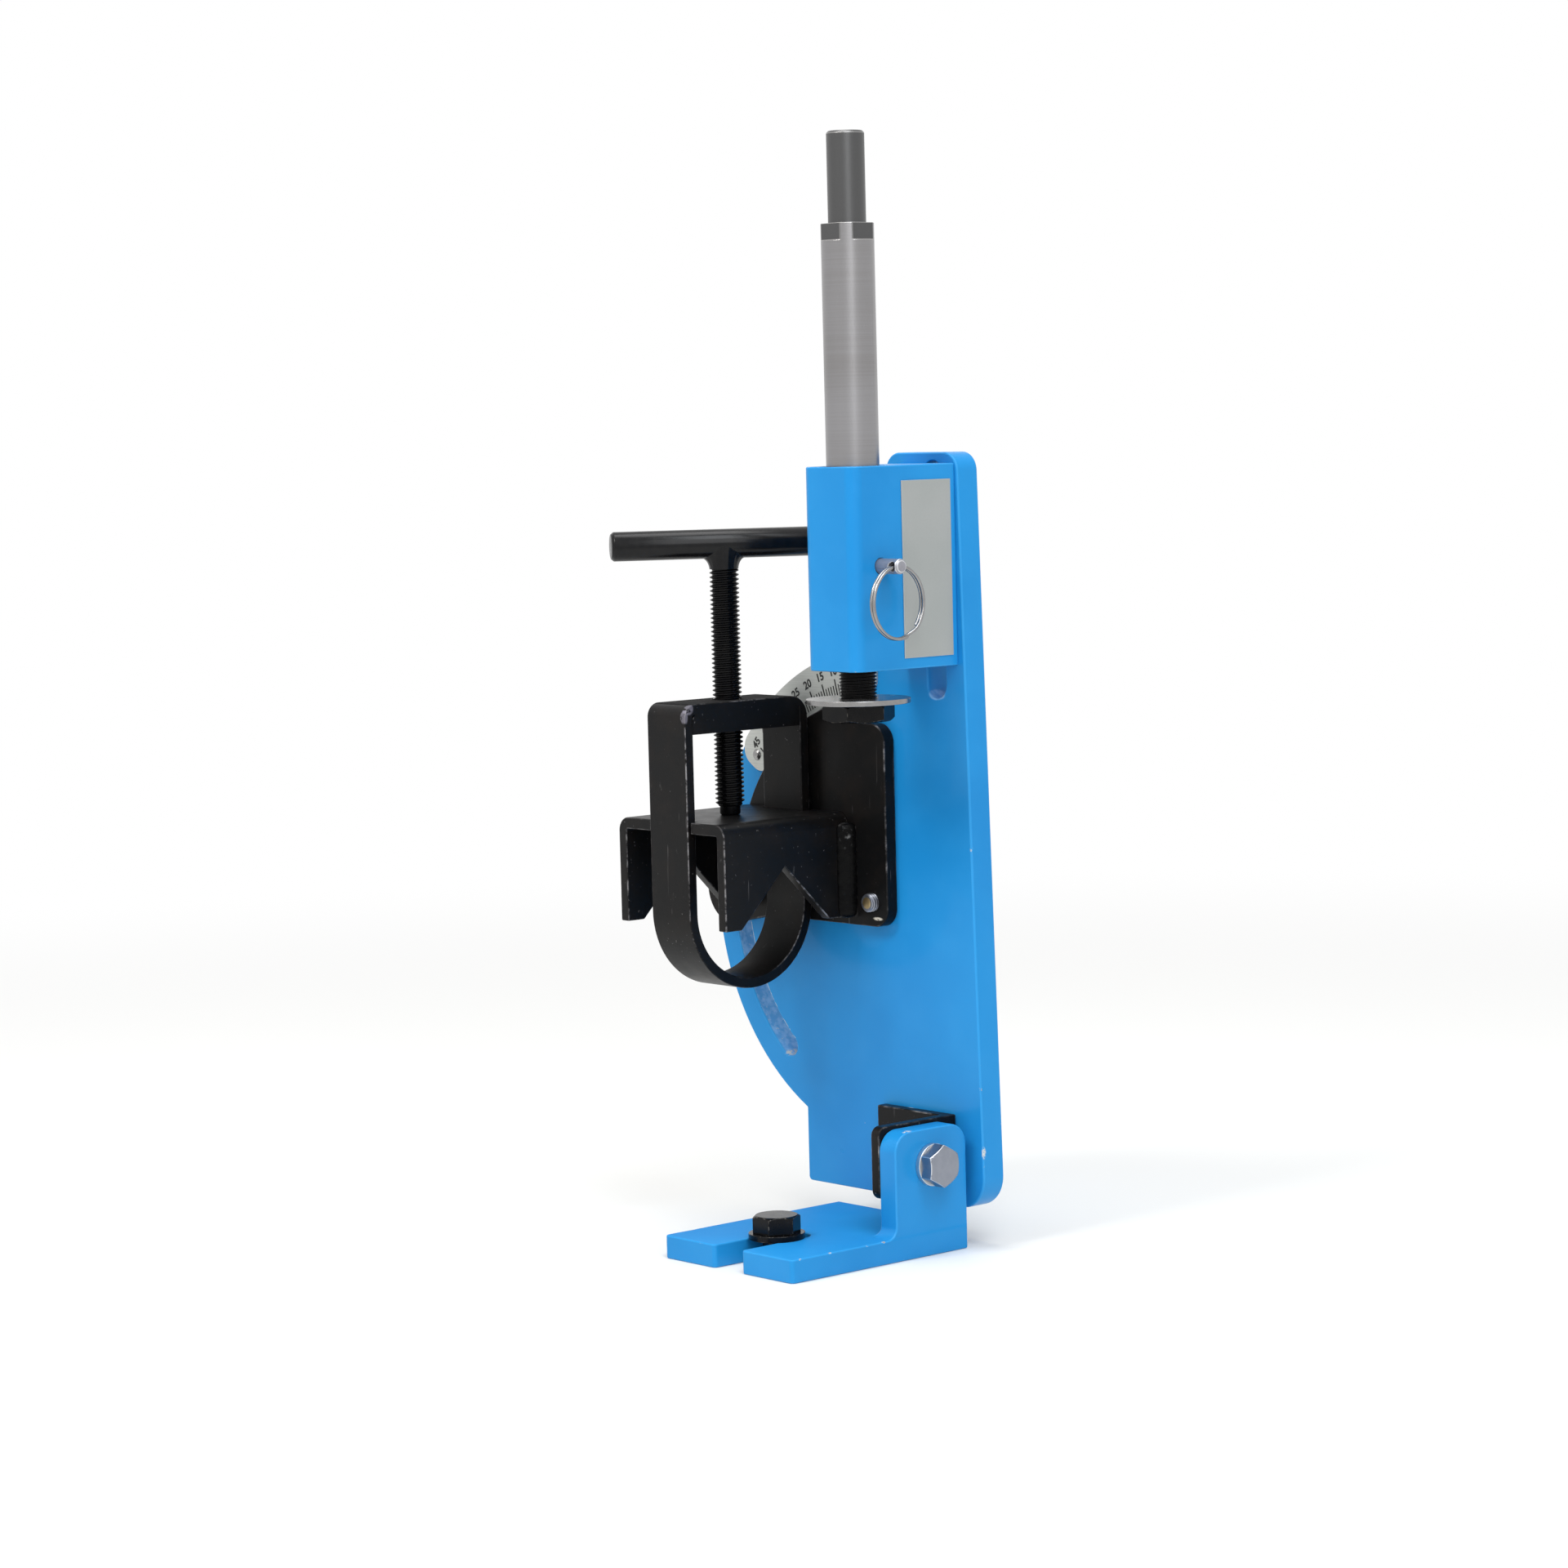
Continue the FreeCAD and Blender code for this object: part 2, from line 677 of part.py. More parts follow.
def make_scale():
    body = new_body("scale_plate")
    face = new_sketch(body, "face", "XZ_Plane")
    centre = ("-pivot_left", "pivot_height")
    corners = [scale_point("rim_radius", "-scale_first"), scale_point("rim_radius", "scale_last"),
               scale_point("scale_inner", "scale_last"), scale_point("scale_inner", "-scale_first")]
    outline(face, [(x, None, z) for x, z in corners],
            {0: (*centre, "rim_radius", 1), 2: (*centre, "scale_inner", -1)})
    pad(body, face, "scale_thick")
    round_edges(body, "scale_end_radius", lambda middle, way: abs(way.y) > 0.9)
    holes = new_sketch(body, "holes", "XZ_Plane")
    for angle in ("rivet_first", "rivet_last"):
        round_hole(holes, *scale_point("rivet_ring", angle), "rivet_shank / 2")
    cut_through(body, holes)
    keep("scale_plate", place(body, "arbor_x", web_y))


def make_rivets():
    rivets = []
    crown = "((rivet_head ^ 2 / 4 + rivet_rise ^ 2) / 2 / rivet_rise)"
    for count, angle in enumerate(("rivet_first", "rivet_last"), 1):
        ball = primitive("Sphere", f"rivet_ball_{count}", Radius=crown)
        place(ball, z=f"rivet_rise - {crown}")
        dome_box = cylinder(f"rivet_above_{count}", "rivet_head", "rivet_rise * 2")
        dome = doc.addObject("Part::MultiCommon", f"rivet_dome_{count}")
        dome.Shapes = [ball, dome_box]
        stem = cylinder(f"rivet_stem_{count}", "rivet_shank / 2", "rivet_depth", z="-rivet_depth")
        rivet = fused(f"rivet_{count}", dome, stem)
        x, z = scale_point("rivet_ring", angle)
        rivets.append(place(rivet, f"arbor_x + {x}", f"{web_y} - scale_thick", z, againstY))
    keep("scale_rivets", group("scale_rivets", rivets))


# Arbor housing: a block with a stepped bore for the bushes, slotted bolts at its back, and the
# lock pin's hole in its right face. Drawn from the arbor's axis.

def make_housing():
    body = new_body("arbor_housing")
    plan = new_sketch(body, "plan", "XY_Plane", housing_foot)
    outline(plan, [
        ("-housing_wide / 2", "-housing_front"),
        ("housing_wide / 2", "-housing_front"),
        ("housing_wide / 2", "web_front"),
        ("-housing_wide / 2", "web_front"),
    ])
    pad(body, plan, "housing_high")
    round_edges(body, "housing_corner", lambda middle, way: abs(way.z) > 0.9
                and near(middle.y, "-housing_front"))
    block = place(body, "arbor_x", "arbor_y")
    bush_seat = "bush_length + bush_play * 2 + circlip_thick + circlip_land"
    seat_wide = "arbor_wide / 2 + bush_wall + turning_gap * 2"
    groove = f"{seat_wide} + circlip_depth"
    cuts = [cylinder("housing_bore", "arbor_wide / 2 + bore_relief", "housing_high + 2",
                     z=f"{housing_foot} - 1")]
    cuts.append(cylinder("seat_low", seat_wide, f"{bush_seat} + 1", z=f"{housing_foot} - 1"))
    cuts.append(cylinder("seat_high", seat_wide, f"{bush_seat} + 1", z=f"{housing_head} - ({bush_seat})"))
    cuts.append(cylinder("groove_low", groove, "circlip_thick + bush_play",
                         z=f"{housing_foot} + circlip_land"))
    cuts.append(cylinder("groove_high", groove, "circlip_thick + bush_play",
                         z=f"{housing_head} - circlip_land - circlip_thick - bush_play"))
    for cut in cuts:
        cut.setExpression("Placement.Base.x", linked("arbor_x"))
        cut.setExpression("Placement.Base.y", linked("arbor_y"))
    cuts.append(cylinder("pin_hole", "pin_wide / 2 + turning_gap", "housing_wide", x="arbor_x", y="arbor_y",
                         z=pin_z, turn=alongX))
    for count, height in enumerate(bolt_heights, 1):
        cuts.append(cylinder(f"bolt_hole_{count}", "small_thread / 2 + turning_gap",
                             "housing_bolt_depth + 2", x="arbor_x + height_slot_off",
                             y=f"{web_y} - housing_bolt_depth - 1", z=height, turn=alongY))
    keep("arbor_housing", without("arbor_housing", block, *cuts))


def make_label_plate():
    plate = primitive("Box", "label_plate", Length="label_thick", Width="label_wide",
                      Height="label_high - label_low")
    place(plate, "arbor_x + housing_wide / 2", f"{web_y} - label_back - label_wide",
          f"{housing_foot} + label_low")
    keep("label_plate", plate)


def make_housing_bolts():
    bolts = []
    washers = []
    for count, height in enumerate(bolt_heights, 1):
        reach = "web_thick + small_washer_thick + housing_bolt_depth - 1"
        bolt = hex_bolt(f"housing_bolt_{count}", "small_thread", "small_flats", "small_head", reach)
        where = ("arbor_x + height_slot_off", f"{web_back} + small_washer_thick", height, alongY)
        bolts.append(place(bolt, *where))
        ring = washer(f"housing_washer_{count}", "small_thread", "small_washer_wide", "small_washer_thick")
        washers.append(place(ring, "arbor_x + height_slot_off", web_back, height, alongY))
    keep("housing_bolts", group("housing_bolts", bolts))
    keep("housing_washers", group("housing_washers", washers))


def make_bushes():
    low = f"{housing_foot} + circlip_land + circlip_thick + bush_play"
    high = f"{housing_head} - circlip_land - circlip_thick - bush_play - bush_length"
    for name, height in (("lower_bush", low), ("upper_bush", high)):
        sleeve = cylinder(name + "_sleeve", "arbor_wide / 2 + bush_wall + turning_gap", "bush_length")
        bore = cylinder(name + "_bore", "arbor_wide / 2 + turning_gap", "bush_length + 2", z="-1")
        keep(name, place(without(name, sleeve, bore), "arbor_x", "arbor_y", height))


def make_circlips():
    rings = []
    outer = "arbor_wide / 2 + bush_wall + turning_gap + circlip_depth"
    heights = (f"{housing_foot} + circlip_land", f"{housing_head} - circlip_land - circlip_thick")
    for count, height in enumerate(heights, 1):
        disc = cylinder(f"circlip_disc_{count}", outer, "circlip_thick")
        hole = cylinder(f"circlip_hole_{count}", f"{outer} - circlip_wide", "circlip_thick + 2", z="-1")
        gap = primitive("Box", f"circlip_gap_{count}", Length="circlip_wide * 3", Width="circlip_wide * 8",
                        Height="circlip_thick + 2")
        place(gap, x="-circlip_wide * 1.5", z="-1")
        ring = without(f"circlip_{count}", disc, hole, gap)
        rings.append(place(ring, "arbor_x", "arbor_y", height))
    keep("bush_circlips", group("bush_circlips", rings))


# Arbor: shank, wrench square, guide and threaded nose, turned on the arbor's axis

def make_arbor():
    shank_top = f"{guide_top} + shank_tall"
    shaft = revolved("arbor_turned", [
        (nose_end, "nose_wide / 2 - arbor_chamfer"),
        (f"{nose_end} + arbor_chamfer", "nose_wide / 2"),
        ("arbor_shoulder", "nose_wide / 2"),
        ("arbor_shoulder", "arbor_wide / 2"),
        (guide_top, "arbor_wide / 2"),
        (guide_top, "shank_wide / 2"),
        (f"{shank_top} - arbor_chamfer", "shank_wide / 2"),
        (shank_top, "shank_wide / 2 - arbor_chamfer"),
    ])
    flats = []
    for count, (x, y) in enumerate((("1", "0"), ("-1", "0"), ("0", "1"), ("0", "-1")), 1):
        flat = primitive("Box", f"wrench_flat_{count}", Length="arbor_wide", Width="arbor_wide",
                         Height="wrench_tall + 0.001")
        place(flat, f"{x} * (arbor_wide + wrench_square) / 2 - arbor_wide / 2",
              f"{y} * (arbor_wide + wrench_square) / 2 - arbor_wide / 2", f"{guide_top} - wrench_tall")
        flats.append(flat)
    socket = cylinder("lock_socket", "pin_wide / 2 + turning_gap * 2", "arbor_wide",
                      x="arbor_wide / 2 - pin_stroke", z=pin_z, turn=alongX)
    arbor = without("arbor_shaft", shaft, socket, *flats)
    keep("arbor_shaft", place(arbor, "arbor_x", "arbor_y"))


def make_nose_hardware():
    disc = cylinder("saw_disc", "disc_wide / 2", "disc_thick")
    hole = cylinder("saw_disc_hole", "nose_wide / 2 + turning_gap", "disc_thick + 2", z="-1")
    ring = without("saw_washer", disc, hole)
    keep("saw_washer", place(ring, "arbor_x", "arbor_y", f"{nose_end} + nut_tall"))
    nut = hex_nut("saw_nut", "nose_wide", "nut_flats", "nut_tall")
    keep("saw_nut", place(nut, "arbor_x", "arbor_y", nose_end))


# Lock pin, along X, and the split ring that hangs in its cross hole

def make_lock_pin():
    length = "housing_wide / 2 - arbor_wide / 2 - pin_shy + pin_out"
    stem = cylinder("pin_stem", "pin_wide / 2", f"{length} - pin_dome")
    dome = primitive("Cone", "pin_cap", Radius1="pin_wide / 2", Radius2="pin_wide / 2 - pin_dome",
                     Height="pin_dome")
    place(dome, z=f"{length} - pin_dome")
    cross = cylinder("pin_cross", "ring_hole / 2", "pin_wide + 2", y="-pin_wide / 2 - 1",
                     z=f"{length} - ring_in", turn=alongY)
    pin = without("lock_pin", fused("pin_solid", stem, dome), cross)
    keep("lock_pin", place(pin, "arbor_x + arbor_wide / 2 + pin_shy", "arbor_y", pin_z, alongX))


def make_pin_ring():
    turns = []
    for count, side in enumerate(("-1", "1"), 1):
        turn = primitive("Torus", f"ring_turn_{count}", Radius1="(ring_wide - ring_wire) / 2",
                         Radius2="ring_wire / 2")
        turns.append(place(turn, z=f"{side} * (ring_wire - ring_overlap) / 2"))
    ring = fused("pin_ring", *turns)
    keep("pin_ring", place(ring, "arbor_x + housing_wide / 2 + pin_out - ring_in", "arbor_y",
                           f"{pin_z} - (ring_wide - ring_wire) / 2", alongX))


# Swing plate: drawn on XZ from the pivot, with an arc under the scale, a pointer and a lobe for
# the lock bolt

def make_swing_plate():
    body = new_body("swing_plate")
    face = new_sketch(body, "face", "XZ_Plane")
    point = "(scale_inner - pointer_gap)"
    outline(face, [
        ("swing_right", "-swing_below"),
        ("swing_right", "swing_above"),
        (f"pointer_half - {point} * sin(pointer_angle)", "swing_above"),
        (f"-{point} * sin(pointer_angle)", f"{point} * cos(pointer_angle)"),
        (f"-pointer_half - {point} * sin(pointer_angle)", "swing_above"),
        ("-swing_shoulder", "swing_above"),
        ("-swing_shoulder", None, "sqrt(swing_arc ^ 2 - swing_shoulder ^ 2)"),
        ("-swing_arc * sin(swing_arc_end)", None, "swing_arc * cos(swing_arc_end)"),
        ("-swing_nick_x", "swing_nick_z"),
        ("-arc_slot_radius", "swing_lobe"),
        ("-arc_slot_radius", "-swing_lobe"),
        ("-swing_lobe_foot", "-swing_below"),
    ], {6: ("0", "0", "swing_arc", 1)})
    pad(body, face, "swing_thick", reverse=True)
    lobe = new_sketch(body, "lobe", "XZ_Plane")
    round_hole(lobe, "-arc_slot_radius", "0", "swing_lobe")
    pad(body, lobe, "swing_thick", reverse=True)
    round_edges(body, "swing_corner", lambda middle, way: abs(way.y) > 0.9
                and near(middle.x, "swing_right"))
    holes = new_sketch(body, "holes", "XZ_Plane")
    round_hole(holes, "0", "0", "small_thread / 2 + turning_gap")
    round_hole(holes, "-arc_slot_radius", "0", "small_thread / 2 + turning_gap")
    cut_through(body, holes)
    keep("swing_plate", place(body, pivot_x, swing_y, "pivot_height"))


def make_swing_bolts():
    reach = "small_washer_thick + web_thick + swing_thick + small_end"
    for word, x in (("pivot", pivot_x), ("lock", f"({pivot_x} - arc_slot_radius)")):
        bolt = hex_bolt(f"{word}_bolt", "small_thread", "small_flats", "small_head", reach)
        keep(f"{word}_bolt", place(bolt, x, f"{web_back} + small_washer_thick", "pivot_height", alongY))
        ring = washer(f"{word}_washer", "small_thread", "small_washer_wide", "small_washer_thick")
        keep(f"{word}_washer", place(ring, x, web_back, "pivot_height", alongY))


# V channel: an upturned U along Y, with notches in its flanges and gaps in its top for the strap

def make_channel():
    body = new_body("v_channel")
    end = new_sketch(body, "end", "XZ_Plane", "channel_front")
    half = "channel_wide / 2"
    outline(end, [
        (f"-{half}", "channel_low"),
        (f"channel_wall - {half}", "channel_low"),
        (f"channel_wall - {half}", "channel_high - channel_wall"),
        (f"{half} - channel_wall", "channel_high - channel_wall"),
        (f"{half} - channel_wall", "channel_low"),
        (half, "channel_low"),
        (half, "channel_high"),
        (f"-{half}", "channel_high"),
    ])
    pad(body, end, "channel_front + web_front - swing_thick", reverse=True)
    round_edges(body, "channel_bend", lambda middle, way: abs(way.y) > 0.9
                and near(middle.z, "channel_high"))
    round_edges(body, "channel_bend - channel_wall", lambda middle, way: abs(way.y) > 0.9
                and near(middle.z, "channel_high - channel_wall"))
    vee = new_sketch(body, "vee", "YZ_Plane")
    outline(vee, [
        ("-vee_deep - 1", "channel_low - 1"),
        ("vee_deep + 1", "channel_low - 1"),
        ("0", "channel_low + vee_deep"),
    ])
    cut_through(body, vee)
    gaps = []
    gap_wide = "strap_wide + guide_gap * 2"
    strap_inner = "strap_outer / 2 - strap_thick - guide_gap"
    for word, start, depth in (
        ("front", "-channel_front - 1", f"channel_front + 1 - ({strap_inner})"),
        ("back", strap_inner, f"web_front - swing_thick - ({strap_inner}) + 1"),
    ):
        gap = primitive("Box", f"leg_gap_{word}", Length=gap_wide, Width=depth, Height="channel_wall * 2")
        place(gap, f"{channel_x} - ({gap_wide}) / 2", f"arbor_y + {start}",
              "channel_high - channel_wall * 1.5")
        gaps.append(gap)
    channel = place(body, channel_x, "arbor_y")
    bead = new_body("weld_bead")
    section = new_sketch(bead, "section", "XY_Plane", "channel_low")
    outline(section, [("0", "0"), ("weld_leg", "0"), ("0", "-weld_leg")])
    pad(bead, section, "channel_high - channel_bend - channel_low")
    place(bead, f"{channel_x} + {half}", swing_y)
    keep("v_channel", without("v_channel", fused("channel_welded", channel, bead), *gaps))


# Clamp strap: a closed loop of flat bar on YZ, with a threaded block under its top

def make_strap():
    body = new_body("strap_loop")
    loop = new_sketch(body, "loop", "YZ_Plane", "-strap_wide / 2")
    for inset in ("0", "strap_thick"):
        half = f"(strap_outer / 2 - {inset})"
        outline(loop, [
            (half, "strap_centre"),
            (half, f"strap_top - {inset}"),
            (f"-{half}", f"strap_top - {inset}"),
            (f"-{half}", "strap_centre"),
        ], {3: ("0", "strap_centre", half, 1, "y")})
    pad(body, loop, "strap_wide")
    round_edges(body, "strap_corner", lambda middle, way: abs(way.x) > 0.9
                and near(middle.z, "strap_top") and middle.y < 0)
    round_edges(body, "strap_back_corner", lambda middle, way: abs(way.x) > 0.9
                and near(middle.z, "strap_top") and near(middle.y, "strap_outer / 2"))
    round_edges(body, "strap_corner - strap_thick", lambda middle, way: abs(way.x) > 0.9
                and near(middle.z, "strap_top - strap_thick"))
    loop_solid = place(body, channel_x, "arbor_y")
    hole = cylinder("strap_hole", "screw_wide / 2 + loose_gap * 2", "strap_thick + 2", x=channel_x,
                    y="arbor_y", z="strap_top - strap_thick - 1")
    keep("clamp_strap", without("clamp_strap", loop_solid, hole))
    block = new_body("block")
    end = new_sketch(block, "end", "YZ_Plane", "-strap_wide / 2")
    half = "(strap_outer / 2 - strap_thick)"
    bend = "(strap_corner - strap_thick)"
    outline(end, [
        (f"-{half}", "0"),
        (half, "0"),
        (half, f"block_tall - {bend}"),
        (f"{half} - {bend}", "block_tall"),
        (f"{bend} - {half}", "block_tall"),
        (f"-{half}", f"block_tall - {bend}"),
    ])
    pad(block, end, "strap_wide")
    thread = cylinder("block_thread", "screw_wide / 2 + turning_gap", "block_tall + 2", z="-1")
    nut = without("strap_nut_block", block, thread)
    keep("strap_nut_block", place(nut, channel_x, "arbor_y", "strap_top - strap_thick - block_tall"))


def make_screw():
    screw = revolved("clamp_screw", [
        ("channel_high", "screw_tip_wide / 2 - end_chamfer"),
        ("channel_high + end_chamfer", "screw_tip_wide / 2"),
        ("channel_high + screw_tip_tall", "screw_tip_wide / 2"),
        ("channel_high + screw_tip_tall + end_chamfer", "screw_wide / 2"),
        ("tee_height - tee_wide / 2", "screw_wide / 2"),
    ])
    keep("clamp_screw", place(screw, channel_x, "arbor_y"))


def make_tee():
    half = "(tee_long / 2)"
    bar = revolved("tee_rod", [
        (f"-{half}", "tee_wide / 2 - end_chamfer"),
        (f"end_chamfer - {half}", "tee_wide / 2"),
        (f"{half} - end_chamfer", "tee_wide / 2"),
        (half, "tee_wide / 2 - end_chamfer"),
    ])
    place(bar, turn=alongX)
    weld = primitive("Cone", "tee_weld", Radius1="screw_wide / 2 + turning_gap * 2",
                     Radius2="tee_weld_wide / 2", Height="tee_weld_tall")
    place(weld, z="-tee_wide / 2 - tee_weld_tall + tee_wide / 4")
    stem = cylinder("tee_stem_room", "screw_wide / 2 + turning_gap", "tee_weld_tall",
                    z="-tee_wide / 2 - tee_weld_tall")
    made = without("tee_bar", fused("tee_solid", bar, weld), stem)
    turned = place(made, channel_x, "arbor_y", "tee_height")
    turned.setExpression("Placement.Rotation.Angle", linked("tee_angle"))
    keep("tee_bar", turned)


for make in (make_foot, make_table_bolt, make_tilt_fasteners, make_angle_bracket, make_swivel_fasteners,
             make_frame_plate, make_scale, make_rivets, make_housing, make_label_plate, make_housing_bolts,
             make_bushes, make_circlips, make_arbor, make_nose_hardware, make_lock_pin, make_pin_ring,
             make_swing_plate, make_swing_bolts, make_channel, make_strap, make_screw, make_tee):
    make()
doc.recompute()

failed = [thing.Name for thing in doc.Objects if {"Invalid", "Error"} & set(thing.State)]
if failed:
    raise RuntimeError(f"not built: {failed}")
for name, thing in parts.items():
    if thing.Shape.isNull() or not thing.Shape.isValid():
        raise RuntimeError(f"{name} has no sound shape")

os.makedirs("parts", exist_ok=True)
for name, thing in parts.items():
    thing.Shape.exportStep(f"parts/{name}.step")
    box = thing.Shape.BoundBox
    print(f"{name}: {len(thing.Shape.Solids)} solid(s), {thing.Shape.Volume / 1000:.2f} cm3, "
          f"from {box.XMin:.1f}, {box.YMin:.1f}, {box.ZMin:.1f} "
          f"to {box.XMax:.1f}, {box.YMax:.1f}, {box.ZMax:.1f}")
print(len(parts), "parts")
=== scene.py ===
import math

import bmesh
import bpy
from mathutils import Matrix, Vector


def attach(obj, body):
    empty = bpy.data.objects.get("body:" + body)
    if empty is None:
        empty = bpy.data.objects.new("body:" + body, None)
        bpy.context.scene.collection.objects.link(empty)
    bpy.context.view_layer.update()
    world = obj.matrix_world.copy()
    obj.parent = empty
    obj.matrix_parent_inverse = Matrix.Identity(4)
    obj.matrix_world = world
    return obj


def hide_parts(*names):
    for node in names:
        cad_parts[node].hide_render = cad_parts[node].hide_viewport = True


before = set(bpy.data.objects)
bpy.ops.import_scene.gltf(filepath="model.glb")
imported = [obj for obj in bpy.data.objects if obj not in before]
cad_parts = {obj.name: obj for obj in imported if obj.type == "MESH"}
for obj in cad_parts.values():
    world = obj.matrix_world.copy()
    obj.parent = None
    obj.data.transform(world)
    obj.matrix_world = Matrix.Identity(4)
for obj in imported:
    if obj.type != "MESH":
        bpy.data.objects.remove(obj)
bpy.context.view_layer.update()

mm = 0.001
metre = 1000.0  # in millimetres


class Wire:
    # one socket of a node tree, so that a sum of masks reads as a sum
    def __init__(self, board, socket):
        self.board = board
        self.socket = socket

    def maths(self, operation, *values):
        return self.board.maths(operation, *values)

    def __add__(self, other):
        return self.maths("ADD", self, other)

    def __radd__(self, other):
        return self.maths("ADD", other, self)

    def __sub__(self, other):
        return self.maths("SUBTRACT", self, other)

    def __rsub__(self, other):
        return self.maths("SUBTRACT", other, self)

    def __mul__(self, other):
        return self.maths("MULTIPLY", self, other)

    def __rmul__(self, other):
        return self.maths("MULTIPLY", other, self)

    def __truediv__(self, other):
        return self.maths("DIVIDE", self, other)

    def __gt__(self, other):
        return self.maths("GREATER_THAN", self, other)

    def between(self, low, high):
        return self.maths("MINIMUM", self.maths("MAXIMUM", self, low), high)


class Board:
    # a shader or geometry tree, filled through one method
    def __init__(self, tree):
        self.tree = tree

    def maths(self, operation, *values):
        return self.node("ShaderNodeMath", {"operation": operation}, dict(enumerate(values)))

    def vector(self, x, y, z):
        return self.node("ShaderNodeCombineXYZ", {}, {0: x, 1: y, 2: z})

    def node(self, kind, settings, sockets, output=0):
        made = self.tree.nodes.new(kind)
        for name, value in settings.items():
            setattr(made, name, value)
        for name, value in sockets.items():
            if isinstance(value, Wire):
                self.tree.links.new(value.socket, made.inputs[name])
            else:
                made.inputs[name].default_value = value
        return Wire(self, made.outputs[output]) if made.outputs else None


def paintOf(red, green, blue):
    # a colour as it is mixed, from the 0 to 255 of a colour card
    linear = [((c / 255 + 0.055) / 1.055) ** 2.4 if c > 10 else c / 255 / 12.92
              for c in (red, green, blue)]
    return (*linear, 1.0)


class Finish(Board):
    # one material: noises on the object's own coordinates, mixed into the shader's sockets
    def __init__(self, name, **constants):
        self.material = bpy.data.materials.new(name)
        self.material.use_nodes = True
        super().__init__(self.material.node_tree)
        self.shader = self.tree.nodes["Principled BSDF"]
        for socket, value in constants.items():
            self.shader.inputs[socket.replace("_", " ")].default_value = value
        self.place = self.node("ShaderNodeTexCoord", {}, {}, "Object")

    def stretched(self, stretch, shift):
        return self.node("ShaderNodeMapping", {}, {
            "Vector": self.place, "Scale": stretch, "Location": shift})

    def noise(self, size, detail=2.0, rough=0.5, stretch=(1, 1, 1), shift=(0, 0, 0)):
        # size is the width of one blotch, in millimetres
        return self.node("ShaderNodeTexNoise", {}, {
            "Vector": self.stretched(stretch, shift), "Scale": metre / size,
            "Detail": detail, "Roughness": rough})

    def spot(self, centre, size, edge=0.5):
        # one inside an oval about a point, fading to zero at its rim, all in millimetres
        away = self.node("ShaderNodeVectorMath", {"operation": "SUBTRACT"}, {
            0: self.place, 1: tuple(c * mm for c in centre)})
        scaled = self.node("ShaderNodeVectorMath", {"operation": "DIVIDE"}, {
            0: away, 1: tuple(c * mm for c in size)})
        far = self.node("ShaderNodeVectorMath", {"operation": "LENGTH"}, {0: scaled}, "Value")
        return 1 - self.step(far, edge, 1.0)

    def spots(self, rows, edge=0.5):
        return sum((self.spot(centre, size, edge) for centre, size in rows), 0)

    def step(self, value, low, high):
        return self.node("ShaderNodeMapRange", {"interpolation_type": "SMOOTHSTEP"}, {
            "Value": value, "From Min": low, "From Max": high})

    def within(self, value, low, high, fade):
        return self.step(value, low - fade, low) * (1 - self.step(value, high, high + fade))

    def mix(self, factor, first, second):
        return self.node("ShaderNodeMix", {"data_type": "RGBA"}, {
            0: factor, 6: first, 7: second}, 2)

    def painted(self, name):
        return self.node("ShaderNodeAttribute", {"attribute_name": name}, {}, "Fac")

    def axis(self, name):
        return self.node("ShaderNodeSeparateXYZ", {}, {"Vector": self.place}, name)

    def bump(self, height, distance, strength):
        # distance in millimetres
        return self.node("ShaderNodeBump", {}, {
            "Height": height, "Distance": distance * mm, "Strength": strength})

    def set(self, **links):
        for socket, wire in links.items():
            self.tree.links.new(wire.socket, self.shader.inputs[socket.replace("_", " ")])
        return self.material


# Finishes: places and sizes in millimetres, each spot as its centre and its half widths

enamelLook = {
    "colour": paintOf(31, 140, 208),
    "shade": paintOf(27, 133, 201),
    "faded": paintOf(62, 160, 224),
    "primer": paintOf(206, 208, 204),
    "steel": paintOf(112, 108, 104),
    # pale blue of scraped paint; it also lifts the shaded walls of the arc slot as painted light,
    # and paints a highlight at the lower end of the height slot
    "rubbed": paintOf(140, 190, 236),
    # the arc slot about the pivot, with its angles in degrees
    "slot": {"x": -13.0, "y": 76.5, "z": 144.5, "radius": 93.0, "half": 4.5, "fade": 0.25,
             "deep": 30, "angles": (-2.0, 48.0), "endFade": 0.003,
             "innerEdge": (87.9, 88.7), "edgeFade": 0.3},
    "footTop": (9.6, 10.6),
    "chips": [((46.9, 76.8, 41), (1.3, 1.8, 3.2)), ((-40.6, -12, 10), (1.0, 9, 0.8)),
              ((39, 40, 54), (1.6, 3, 1.2)), ((-77.5, 80, 71.6), (3, 5, 2.2))],
    # the first spot is a painted highlight on the lit floor at the lower end of the height slot
    # under the housing; the second is a paler patch at the plate's top right corner
    "highlightAndPaleSpots": [((24.5, 80.5, 235.6), (6.5, 8, 3.4)), ((46.2, 83, 328.5), (3, 8, 3.5))],
}


def slotMasks(f, slot):
    # the walls of the arc slot, which the lock bolt rubs, and its inner edge
    flat = f.stretched((1, 0, 1), (-slot["x"] * mm, 0, -slot["z"] * mm))
    away = f.node("ShaderNodeVectorMath", {"operation": "LENGTH"}, {0: flat}, "Value") * metre
    turned = f.maths("ARCTAN2", slot["z"] - f.axis("Z") * metre, slot["x"] - f.axis("X") * metre)
    ends = [math.radians(angle) for angle in slot["angles"]]
    along = f.within(turned, *ends, slot["endFade"])
    reach = slot["half"] + slot["fade"]
    walls = 1 - f.step(f.maths("ABSOLUTE", away - slot["radius"]), slot["half"], reach)
    walls = walls * along
    for end in ends:
        middle = (slot["x"] - slot["radius"] * math.cos(end), slot["y"],
                  slot["z"] - slot["radius"] * math.sin(end))
        walls = walls + f.spot(middle, (reach, slot["deep"], reach), 0.94)
    return walls.between(0, 1), along * f.within(away, *slot["innerEdge"], slot["edgeFade"])


